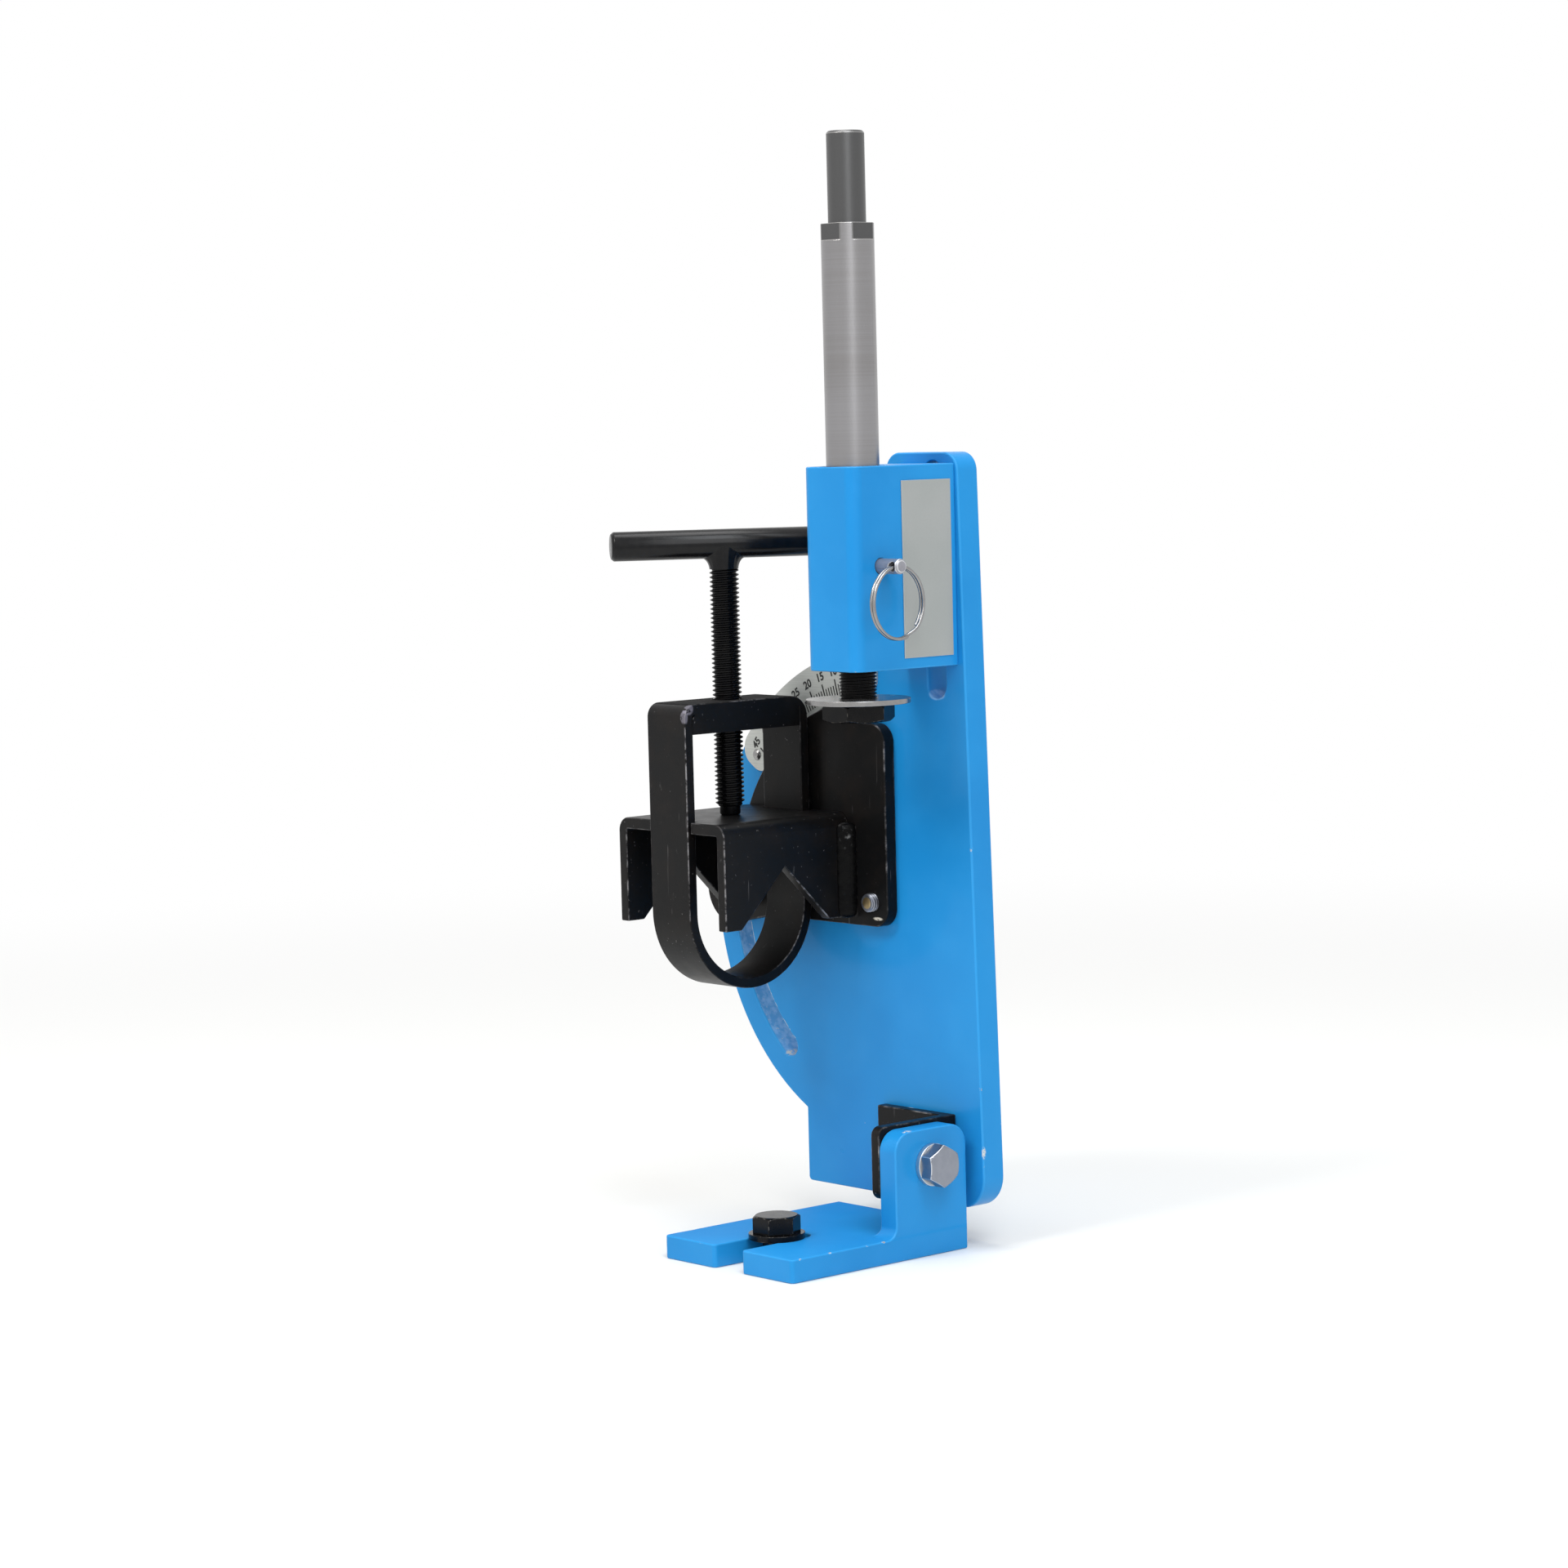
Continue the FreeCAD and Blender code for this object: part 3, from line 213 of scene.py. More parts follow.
def blueEnamel(look):
    f = Finish("blueEnamel", Coat_Roughness=0.08, Coat_IOR=1.5, IOR=1.45,
               Specular_IOR_Level=0.18)
    drift = f.step(f.noise(70), 0.34, 0.66)
    cloud = f.step(f.noise(18, 3, shift=(3, 1, 2)), 0.4, 0.75)
    base = f.mix(drift, look["shade"], look["colour"])
    base = f.mix(cloud * 0.1, base, look["faded"])
    edge = f.painted("edge")
    base = f.mix(edge * 0.35, base, look["faded"])
    chipNoise = f.noise(3.2, 5, 0.62, shift=(0.4, 0.1, 0.7))
    edgeGate = f.step(f.noise(24, shift=(1, 9, 4)), 0.5, 0.58)
    edgeChip = edge * f.step(chipNoise, 0.65, 0.665) * edgeGate
    gate = f.step(f.noise(38, shift=(5, 2, 9)), 0.58, 0.68)
    faceChip = f.step(f.noise(2.0, 3, 0.6, shift=(2, 7, 1)), 0.76, 0.775) * gate
    inSlot, innerEdge = slotMasks(f, look["slot"])
    # the arc slot's walls are scraped paint, made paler still as painted light over their shade;
    # the spots add a painted highlight at the height slot's lower end and a paler patch at the
    # plate's top corner
    patchy = 0.4 + f.step(f.noise(4, 4, 0.6), 0.4, 0.62) * 0.6
    rubbed = (inSlot + f.spots(look["highlightAndPaleSpots"], 0.8)).between(0, 1) * patchy
    base = f.mix(rubbed * 0.8, base, look["rubbed"])
    flecks = inSlot * f.step(f.noise(1.3, 3, 0.65, shift=(4, 4, 8)), 0.64, 0.68) * 0.6
    edgeFlecks = innerEdge * f.step(f.noise(5, 3, 0.6, shift=(2, 4, 4)), 0.42, 0.52)
    flecks = (flecks + edgeFlecks).between(0, 1)
    ragged = f.step(f.noise(1.4, 4, 0.65, shift=(6, 6, 1)), 0.44, 0.5)
    local = f.spots(look["chips"]) * ragged
    chip = (edgeChip + faceChip + local + flecks * 0.8).between(0, 1)
    deep = f.step(chipNoise, 0.68, 0.69) * edgeChip
    base = f.mix(chip, base, look["primer"])
    base = f.mix(deep, base, look["steel"])
    peel = f.noise(1.7)
    sag = f.noise(11, stretch=(1, 1, 0.45))
    height = peel * 0.3 + sag - chip * 0.8
    # dust dulls the foot's top
    dusty = f.within(f.axis("Z") * metre, *look["footTop"], 0.2)
    rough = 0.24 + f.noise(20, 3, 0.6) * 0.14 + chip * 0.3 + rubbed * 0.15 + dusty * 0.3
    return f.set(Base_Color=base, Roughness=rough,
                 Coat_Weight=0.1 - (chip + dusty).between(0, 1) * 0.1,
                 Normal=f.bump(height, 0.08, 0.5))


blackPaintLook = {
    "colour": paintOf(11, 11, 12),
    "brown": paintOf(22, 18, 16),
    "worn": paintOf(148, 146, 148),
    "dust": paintOf(92, 90, 90),
    "bare": paintOf(190, 184, 172),
    "scuffed": paintOf(124, 121, 132),
    "chips": [((-9.2, 70.5, 137.6), (3.6, 1.5, 0.9)), ((3.8, 76.5, 56), (3.5, 1.5, 1.5)),
              ((-100.5, 72, 143), (2, 2, 1))],
    "scuffs": [((-50.2, 0.9, 231.4), (2.6, 3.0, 3.0)), ((-50.6, -0.8, 228.0), (2.4, 1.4, 3.6))],
    "dullTop": (232.9, 233.4),
    "bareEdges": [((-49.5, -1.5, 196), (3, 3, 44)), ((-27.2, -0.5, 160), (2, 2, 26)),
                  ((-27.2, 46, 149), (1.5, 17, 15)), ((-49.5, 62, 125), (1.5, 9, 14))],
}


def blackPaint(look):
    f = Finish("blackPaint", IOR=1.5, Specular_IOR_Level=0.15)
    mottle = f.step(f.noise(13, 4, 0.6), 0.42, 0.72)
    base = f.mix(mottle * 0.7, look["colour"], look["brown"])
    edge = f.painted("edge")
    rub = f.noise(7, 6, 0.7, shift=(1, 4, 2))
    gate = f.step(f.noise(34, shift=(4, 4, 1)), 0.4, 0.6)
    worn = edge * f.step(rub, 0.44, 0.72) * (0.15 + gate * 0.85)
    handled = f.spots(look["bareEdges"], 0.8)
    grip = f.step(f.noise(3, 4, 0.65, shift=(5, 2, 2)), 0.4, 0.6)
    worn = (worn + edge * handled * grip * 0.7).between(0, 1)
    ragged = f.step(f.noise(1.2, 4, 0.65, shift=(2, 6, 3)), 0.36, 0.46)
    local = f.spots(look["chips"]) * ragged
    speckGate = f.step(f.noise(26, shift=(8, 1, 6)), 0.44, 0.6) * 0.75 + 0.25
    specks = f.step(f.noise(1.5, shift=(9, 3, 3)), 0.71, 0.74) * speckGate
    scratch = f.step(f.noise(2.2, stretch=(1, 1, 0.06), shift=(2, 2, 6)), 0.715, 0.735)
    scuff = f.step(f.noise(4, 4, 0.7, stretch=(1, 1, 0.35), shift=(3, 5, 1)), 0.66, 0.74)
    scratch = (scratch + scuff * 0.5) * speckGate * 0.8
    dull = (specks + scratch).between(0, 1)
    base = f.mix(dull * 0.85, base, look["dust"])
    base = f.mix(worn * 0.8, base, look["worn"])
    base = f.mix(local.between(0, 1), base, look["bare"])
    knock = f.spots(look["scuffs"], 0.7)
    knock = knock * f.step(f.noise(2.6, 4, 0.6, shift=(6, 1, 3)), 0.38, 0.5)
    base = f.mix(knock * 0.6, base, look["scuffed"])
    height = f.noise(0.8) * 0.4 + f.noise(7) - worn * 0.6
    # the strap's top is dull, so that it doesn't mirror the lamps
    dusty = f.within(f.axis("Z") * metre, *look["dullTop"], 0.2)
    rough = 0.27 + f.noise(9, 4, 0.6) * 0.22 + dull * 0.1 + dusty * 0.5
    return f.set(Base_Color=base, Roughness=rough, Metallic=worn * 0.75,
                 Normal=f.bump(height, 0.09, 0.5))


oxideLook = {
    "dark": paintOf(9, 9, 11),
    "light": paintOf(18, 17, 17),
    "rubbed": paintOf(112, 108, 102),
}


def blackOxide(name, sheen, look=oxideLook):
    f = Finish(name, IOR=1.5, Specular_IOR_Level=sheen)
    drift = f.step(f.noise(5, 4, 0.6), 0.4, 0.7)
    base = f.mix(drift, look["dark"], look["light"])
    rub = f.painted("edge") * f.step(f.noise(1.6, 4, 0.6), 0.52, 0.68)
    base = f.mix(rub * 0.7, base, look["rubbed"])
    return f.set(Base_Color=base, Roughness=0.14 + f.noise(4, 3, 0.6) * 0.16, Metallic=rub * 0.6,
                 Normal=f.bump(f.noise(0.9), 0.03, 0.4))


zincLook = {"stain": paintOf(128, 124, 118), "edge": paintOf(226, 227, 228)}


def zincPlate(name, bright, dark, metal=0.94, look=zincLook):
    f = Finish(name, IOR=1.6)
    drift = f.step(f.noise(4.5, 3, 0.55), 0.3, 0.75)
    base = f.mix(drift * 0.6, bright, dark)
    stain = f.step(f.noise(5, 3, 0.6, shift=(3, 3, 3)), 0.6, 0.78)
    base = f.mix(stain * 0.35, base, look["stain"])
    base = f.mix(f.painted("edge") * 0.6, base, look["edge"])
    return f.set(Base_Color=base, Roughness=0.24 + f.noise(3, 3, 0.6) * 0.18,
                 Metallic=metal - stain * 0.15, Normal=f.bump(f.noise(0.8), 0.012, 0.5))


groundLook = {
    "light": paintOf(150, 149, 151),
    "dark": paintOf(138, 136, 136),
    "oil": paintOf(104, 96, 88),
    "black": paintOf(15, 15, 16),
    "edge": paintOf(206, 204, 200),
    # the arbor's axis, and where its black wrench flats and drive shank start
    "x": 22.0, "y": 33.5, "flatsLow": 427.0, "shankLow": 433.8, "flats": (9.3, 9.56),
}


def groundSteel(look):
    # grinding leaves rings round the shaft, so the fine noise is thin along z
    f = Finish("groundSteel", IOR=2.0)
    rings = f.noise(2.4, stretch=(0.04, 0.04, 6))
    wide = f.noise(44, stretch=(0.3, 0.3, 0.7), shift=(1, 1, 4))
    base = f.mix(f.step(rings * 0.2 + wide * 0.8, 0.36, 0.64), look["dark"], look["light"])
    smear = f.step(f.noise(16, 4, 0.6, stretch=(1, 1, 0.25), shift=(2, 8, 5)), 0.6, 0.8)
    base = f.mix(smear * 0.25, base, look["oil"])
    edge = f.painted("edge")
    away = f.maths("MAXIMUM", *(f.maths("ABSOLUTE", f.axis(name.upper()) - look[name] * mm)
                                for name in ("x", "y")))
    near, far = look["flats"]
    onFlat = (away > near * mm) * (1 - (away > far * mm))
    z = f.axis("Z")
    black = ((z > look["flatsLow"] * mm) * onFlat + (z > look["shankLow"] * mm)).between(0, 1)
    black = black * (1 - edge * 0.5)
    base = f.mix(edge * 0.3, base, look["edge"])
    base = f.mix(black * 0.97, base, look["black"])
    rough = 0.29 + rings * 0.06 + smear * 0.1 + black * 0.05
    return f.set(Base_Color=base, Roughness=rough, Metallic=0.96 - smear * 0.12 - black * 0.75,
                 Normal=f.bump(rings, 0.002, 0.5))


brightLook = {
    "dark": paintOf(142, 141, 141),
    "light": paintOf(150, 149, 148),
    "tarnish": paintOf(140, 130, 116),
}


def brightSteel(look):
    f = Finish("brightSteel", IOR=2.2)
    base = f.mix(f.step(f.noise(3.5), 0.3, 0.75), look["dark"], look["light"])
    tarnish = f.step(f.noise(9, 3, 0.55, shift=(1, 5, 2)), 0.58, 0.8)
    base = f.mix(tarnish * 0.3, base, look["tarnish"])
    rough = 0.2 + f.noise(6) * 0.1 + tarnish * 0.08
    return f.set(Base_Color=base, Roughness=rough, Metallic=0.97 - tarnish * 0.1)


scaleMetalLook = {
    "dark": paintOf(184, 187, 183),
    "light": paintOf(196, 198, 194),
    "stain": paintOf(150, 148, 140),
}


def scaleMetal(look):
    f = Finish("scaleMetal", IOR=1.5)
    grain = f.noise(1.4, 3, 0.6, stretch=(0.08, 1, 3))
    base = f.mix(f.step(grain, 0.36, 0.66), look["dark"], look["light"])
    stain = f.step(f.noise(9, 4, 0.6, shift=(2, 2, 7)), 0.56, 0.76)
    base = f.mix(stain * 0.2, base, look["stain"])
    return f.set(Base_Color=base, Roughness=0.42 + grain * 0.12, Metallic=0.4 - stain * 0.15,
                 Normal=f.bump(grain, 0.004, 0.5))


foilLook = {
    "dark": paintOf(160, 163, 162),
    "light": paintOf(166, 169, 168),
    "haze": paintOf(150, 156, 154),
    "edge": paintOf(214, 216, 214),
}


def labelFoil(look):
    f = Finish("labelFoil", IOR=1.5)
    grain = f.noise(0.9)
    base = f.mix(f.step(grain, 0.3, 0.7) * 0.4, look["dark"], look["light"])
    haze = f.step(f.noise(30, shift=(4, 2, 1)), 0.4, 0.7)
    base = f.mix(haze * 0.4, base, look["haze"])
    base = f.mix(f.painted("edge") * 0.5, base, look["edge"])
    rough = 0.4 + grain * 0.06 + haze * 0.06
    return f.set(Base_Color=base, Roughness=rough, Metallic=0.3 + grain * 0.06,
                 Normal=f.bump(f.noise(14), 0.05, 0.4))


bronzeLook = {"dark": paintOf(132, 98, 52), "light": paintOf(172, 134, 78)}


def bushBronze(look):
    f = Finish("bushBronze", IOR=1.6)
    drift = f.step(f.noise(3, 4, 0.6), 0.38, 0.68)
    base = f.mix(drift, look["dark"], look["light"])
    return f.set(Base_Color=base, Roughness=0.34 + f.noise(1.6, 3, 0.6) * 0.2,
                 Metallic=0.95 - drift * 0.1,
                 Normal=f.bump(f.noise(0.7, stretch=(0.2, 0.2, 4)), 0.015, 0.5))


weldLook = {
    "dark": paintOf(8, 8, 9),
    "light": paintOf(13, 13, 13),
    "bare": paintOf(138, 139, 140),
    # this spot of bare metal is a painted highlight on the bead as well as rubbed paint
    "rubbed": ((-23.6, 66.2, 173.0), (3.4, 3.6, 7.0)),
}


def weldMetal(look):
    # black paint over the ripples, rubbed through on some crests; the bare metal is kept to one
    # spot near the top, where it is a painted highlight
    f = Finish("weldMetal", IOR=1.5, Specular_IOR_Level=0.06)
    crest = f.painted("crest")
    drift = f.noise(2.6, 4, 0.6)
    # bare metal on the crests, kept to the spot of the painted highlight
    bare = f.step(crest * 0.3 + drift * 0.8, 0.46, 0.7) * f.spot(*look["rubbed"], 0.3)
    base = f.mix(f.step(drift, 0.4, 0.66), look["dark"], look["light"])
    base = f.mix(bare * 0.9, base, look["bare"])
    return f.set(Base_Color=base, Roughness=0.2 + drift * 0.14, Metallic=bare * 0.7,
                 Normal=f.bump(f.noise(2.4), 0.02, 0.5))


inkLook = {"dark": paintOf(7, 7, 8), "faded": paintOf(20, 21, 22)}


def markInk(look):
    f = Finish("markInk", IOR=1.45)
    fade = f.step(f.noise(2.4, 3, 0.6), 0.35, 0.7)
    return f.set(Base_Color=f.mix(fade, look["dark"], look["faded"]),
                 Roughness=0.42 + fade * 0.15)


finishes = {
    # the record's slots
    "blue_paint": blueEnamel(enamelLook),
    "black_paint": blackPaint(blackPaintLook),
    "black_oxide": blackOxide("blackOxide", 0.14),
    "zinc_plate": zincPlate("zincPlate", paintOf(141, 145, 155), paintOf(130, 134, 144)),
    "yellow_zinc": zincPlate("yellowZinc", paintOf(190, 170, 128), paintOf(158, 134, 92)),
    "ground_steel": groundSteel(groundLook),
    "bright_steel": brightSteel(brightLook),
    "scale_metal": scaleMetal(scaleMetalLook),
    "label_foil": labelFoil(foilLook),
    "bronze": bushBronze(bronzeLook),
}
ownFinishes = {
    # pieces that differ a little from their slot's finish
    "weld": weldMetal(weldLook),
    "tee": blackOxide("barBlack", 0.22),
    "springWasher": zincPlate("brightZinc", paintOf(206, 208, 210), paintOf(186, 188, 190)),
    "pin": zincPlate("pinSteel", paintOf(150, 150, 158), paintOf(126, 126, 134), metal=0.55),
    "marks": markInk(inkLook),
}
print("finishes made:", len(finishes) + len(ownFinishes))

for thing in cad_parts.values():
    slotName = thing.material_slots[0].material.name.split(".")[0]
    for place in thing.material_slots:
        place.material = finishes[slotName]


# Meshes

roundLook = {
    "merge": 0.002,    # millimetres
    "flatten": 0.3,    # degrees
    "sharp": 34,       # edges sharper than this, in degrees, are broken
    "steps": 2,
    "shade": 40,
    "flatWeight": 60,
}


def newObject(name, data):
    thing = bpy.data.objects.new(name, data)
    bpy.context.scene.collection.objects.link(thing)
    return thing


def newPiece(name, mesh, body, slot, *nodes, material=None):
    # a finished mesh becomes a piece on its body, and stands for the nodes named
    thing = newObject(name, mesh)
    mesh.materials.clear()
    mesh.materials.append(material or finishes[slot])
    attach(thing, body)
    if nodes:
        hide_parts(*nodes)


def meshOf(shell, name):
    mesh = bpy.data.meshes.new(name)
    shell.to_mesh(mesh)
    shell.free()
    return mesh


def plainMesh(holder):
    # what an object's modifiers or letters come to, without the object
    depsgraph = bpy.context.evaluated_depsgraph_get()
    mesh = bpy.data.meshes.new_from_object(holder.evaluated_get(depsgraph), depsgraph=depsgraph)
    bpy.data.objects.remove(holder)
    return mesh


def shadedMesh(mesh, angle):
    # smooth faces, creased where they meet at more than the angle
    mesh.polygons.foreach_set("use_smooth", [True] * len(mesh.polygons))
    mesh.set_sharp_from_angle(angle=math.radians(angle))
    mesh.update()
    return mesh


def weighted(mesh, look=roundLook):
    # big flat faces keep a flat look beside their rounded edges
    holder = newObject("holder", mesh)
    modifier = holder.modifiers.new("flats", "WEIGHTED_NORMAL")
    modifier.keep_sharp = True
    modifier.weight = look["flatWeight"]
    return plainMesh(holder)


def solidOf(node, look=roundLook):
    # the node's mesh as a merged shell, with its flat faces in one piece each
    shell = bmesh.new()
    shell.from_mesh(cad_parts[node].data)
    bmesh.ops.remove_doubles(shell, verts=shell.verts, dist=look["merge"] * mm)
    bmesh.ops.dissolve_limit(shell, angle_limit=math.radians(look["flatten"]), verts=shell.verts,
                             edges=shell.edges, use_dissolve_boundaries=False)
    return shell


def roundEdges(shell, width, keep, look=roundLook):
    # breaks the sharp edges, and marks the new faces for the wear
    marks = shell.faces.layers.float.new("edge")
    limit = math.radians(look["sharp"])
    sharp = [edge for edge in shell.edges
             if len(edge.link_faces) == 2 and edge.calc_face_angle() > limit
             and not (keep and all(keep(vert.co / mm) for vert in edge.verts))]
    made = bmesh.ops.bevel(shell, geom=sharp, offset=width * mm, offset_type="OFFSET",
                           segments=look["steps"], profile=0.5, affect="EDGES",
                           clamp_overlap=False, loop_slide=True)
    for face in made["faces"]:
        face[marks] = 1.0


thinLook = {
    # millimetres, and overCrest as a share of the crest's radius
    "slack": 0.05, "axis": 0.01, "overCrest": 1.02, "inset": 0.3,
}


def drawnIn(shell, point, axis, reach, crest, radius, look=thinLook):
    # thins a shank's end below the roots of the thread that will cover it
    centre, direction = Vector(point) * mm, Vector(axis)
    for vert in shell.verts:
        away = vert.co - centre
        along = away.dot(direction)
        out = away - direction * along
        onShank = look["axis"] * mm < out.length < crest * look["overCrest"] * mm
        if onShank and -look["slack"] * mm < along < reach * mm:
            out *= min(1.0, radius * mm / out.length)
            vert.co = centre + out + direction * max(along, look["inset"] * mm)


rounded = []


def roundedPiece(node, name, body, slot, width, keep=None, thin=None, skin=None):
    # a node's solid with its edges broken, apart from those to keep
    shell = solidOf(node)
    if thin:
        drawnIn(shell, *thin)
    roundEdges(shell, width, keep)
    mesh = shadedMesh(meshOf(shell, name), roundLook["shade"])
    newPiece(name, weighted(mesh), body, slot, node, material=skin)
    rounded.append(name)


roundings = {
    # node: name of the piece, body, slot, broken edge in millimetres
    "foot_bracket": ("footBracket", "foot", "blue_paint", 0.7),
    "frame_plate": ("framePlate", "frame", "blue_paint", 0.8),
    "arbor_housing": ("arborHousing", "housing", "blue_paint", 0.6),
    "angle_bracket": ("angleBracket", "knuckle", "black_paint", 0.6),
    "swing_plate": ("swingPlate", "clamp", "black_paint", 0.6),
    "label_plate": ("labelPlate", "housing", "label_foil", 0.12),
    "tilt_nut": ("tiltNut", "foot", "zinc_plate", 0.2),
    "table_washer": ("tableWasher", "foot", "black_oxide", 0.25),
    "saw_nut": ("sawNut", "arbor", "black_oxide", 0.2),
    "saw_washer": ("sawWasher", "arbor", "bright_steel", 0.3),
    "pivot_washer": ("pivotWasher", "clamp", "yellow_zinc", 0.2),
    "lock_washer": ("lockWasher", "clamp", "yellow_zinc", 0.2),
    "housing_washers": ("housingWashers", "housing", "zinc_plate", 0.2),
    "housing_bolts": ("housingBolts", "housing", "zinc_plate", 0.2),
    "swivel_washer": ("swivelWasher", "knuckle", "zinc_plate", 0.2),
    "swivel_nut": ("swivelNut", "knuckle", "zinc_plate", 0.2),
}
for node, row in roundings.items():
    roundedPiece(node, *row)

nutBlockLook = {
    "width": 0.3, "strap": 0.45, "top": 228.8, "ends": (3.0, 64.0), "slack": 0.05, "around": 2,
}
veeLook = {"width": 0.5, "flange": -27.2, "beadFrom": 65.3}


def buildNutBlock(look):
    # welded in under the strap, so the edges on the joint stay square
    top, slack, around = look["top"], look["slack"], look["around"]
    near, far = look["ends"]

    def joint(place):
        return place.z > top - slack or not near + slack < place.y < far - slack

    def underside(place):
        return abs(place.z - top) < slack and near - around < place.y < far + around

    roundedPiece("strap_nut_block", "strapNutBlock", "strap", "black_paint", look["width"], joint)
    roundedPiece("clamp_strap", "clampStrap", "strap", "black_paint", look["strap"], underside)


def buildVee(look):
    # the corner under the weld bead stays square
    def beaded(place):
        return place.x > look["flange"] and place.y > look["beadFrom"]

    roundedPiece("v_channel", "veeChannel", "clamp", "black_paint", look["width"], beaded)


buildNutBlock(nutBlockLook)
buildVee(veeLook)
roundedPiece("tilt_spring_washer", "tiltSpringWasher", "foot", "zinc_plate", 0.25,
             skin=ownFinishes["springWasher"])
roundedPiece("scale_rivets", "scaleRivets", "frame", "scale_metal", 0.15,
             skin=finishes["bright_steel"])
roundedPiece("lock_pin", "lockPin", "lock_pin", "bright_steel", 0.25, skin=ownFinishes["pin"])
print("edges rounded on", len(rounded), "pieces")


def circleOf(columns):
    return [2 * math.pi * k / columns for k in range(columns)]


def skinMesh(name, rings, looped=False, capped=False):
    # rings of points in millimetres joined one to the next; a ring of one point closes an end
    shell = bmesh.new()
    loops = [[shell.verts.new([c * mm for c in point]) for point in ring] for ring in rings]
    columns = max(len(ring) for ring in rings)
    if looped:
        loops.append(loops[0])
    for low, high in zip(loops, loops[1:]):
        for k in range(columns):
            n = (k + 1) % columns
            corners = (low[k % len(low)], low[n % len(low)],
                       high[n % len(high)], high[k % len(high)])
            shell.faces.new(list(dict.fromkeys(corners)))
    if capped:
        shell.faces.new(loops[0])
        shell.faces.new(loops[-1])
    bmesh.ops.recalc_face_normals(shell, faces=shell.faces)
    return meshOf(shell, name)


def lathed(name, outline, columns):
    # turns an outline of (radius, height) pairs, from axis to axis, about z
    return skinMesh(name, [
        [(radius * math.cos(a), radius * math.sin(a), height)
         for a in (circleOf(columns) if radius else [0])]
        for radius, height in outline])


def placedMesh(mesh, matrix):
    mesh.transform(matrix)
    return mesh


def standAt(point, turn):
    # at a place in millimetres, turned by degrees about z
    return Matrix.Translation(Vector(point) * mm) @ Matrix.Rotation(math.radians(turn), 4, "Z")


def alignedTo(point, axis):
    # a frame whose z lies along the axis, at a point in millimetres
    rotation = Vector(axis).normalized().to_track_quat("Z", "Y").to_matrix()
    return Matrix.Translation(Vector(point) * mm) @ rotation.to_4x4()


def outward(mesh):
    shell = bmesh.new()
    shell.from_mesh(mesh)
    bmesh.ops.recalc_face_normals(shell, faces=shell.faces)
    shell.to_mesh(mesh)
    shell.free()
    return mesh


# Geometry trees

def newTree(name, inputs):
    # a tree with named inputs, each with its starting value; one without a value is a material
    tree = bpy.data.node_groups.new(name, "GeometryNodeTree")
    kinds = {float: "NodeSocketFloat", int: "NodeSocketInt", type(None): "NodeSocketMaterial"}
    for label, value in inputs.items():
        made = tree.interface.new_socket(label, in_out="INPUT", socket_type=kinds[type(value)])
        if value is not None:
            made.default_value = value
    tree.interface.new_socket("Geometry", in_out="OUTPUT", socket_type="NodeSocketGeometry")
    board = Board(tree)
    given = tree.nodes.new("NodeGroupInput")
    return board, {label: Wire(board, given.outputs[label]) for label in inputs}


def flatSheet(board, columns, rows):
    # a grid to roll up, with the shares across and along it from 0 to 1
    sheet = board.node("GeometryNodeMeshGrid", {}, {
        "Size X": 1.0, "Size Y": 1.0, "Vertices X": columns + 1, "Vertices Y": rows})
    place = board.node("GeometryNodeInputPosition", {}, {})
    across, along = (board.node("ShaderNodeSeparateXYZ", {}, {0: place}, way) + 0.5
                     for way in (0, 1))
    return sheet, across, along


def movedTo(board, geometry, x, y, z):
    return board.node("GeometryNodeSetPosition", {}, {
        "Geometry": geometry, "Position": board.vector(x, y, z)})


def merged(board, geometry):
    return board.node("GeometryNodeMergeByDistance", {}, {"Geometry": geometry, "Distance": 1e-6})


def endTree(board, geometry, finish):
    # realized, given its material and sent out
    solid = board.node("GeometryNodeRealizeInstances", {}, {0: geometry})
    coloured = board.node("GeometryNodeSetMaterial", {}, {"Geometry": solid, "Material": finish})
    board.node("NodeGroupOutput", {}, {0: coloured})
    return board.tree


def grown(tree, name, values):
    # runs a tree once and gives its plain mesh
    holder = newObject(name, bpy.data.meshes.new(name))
    modifier = holder.modifiers.new("grow", "NODES")
    modifier.node_group = tree
    for item in tree.interface.items_tree:
        if item.in_out == "INPUT" and item.name in values:
            modifier[item.identifier] = values[item.name]
    mesh = plainMesh(holder)
    mesh.name = name
    return mesh


# Threads

threadLook = {
    "flat": 0.22, "flank": 0.28,  # shares of one pitch
    "under": 0.15,  # how far the thinned shank stays below the roots, in millimetres
    "spareRows": 11, "columns": 36, "shade": 32,
}


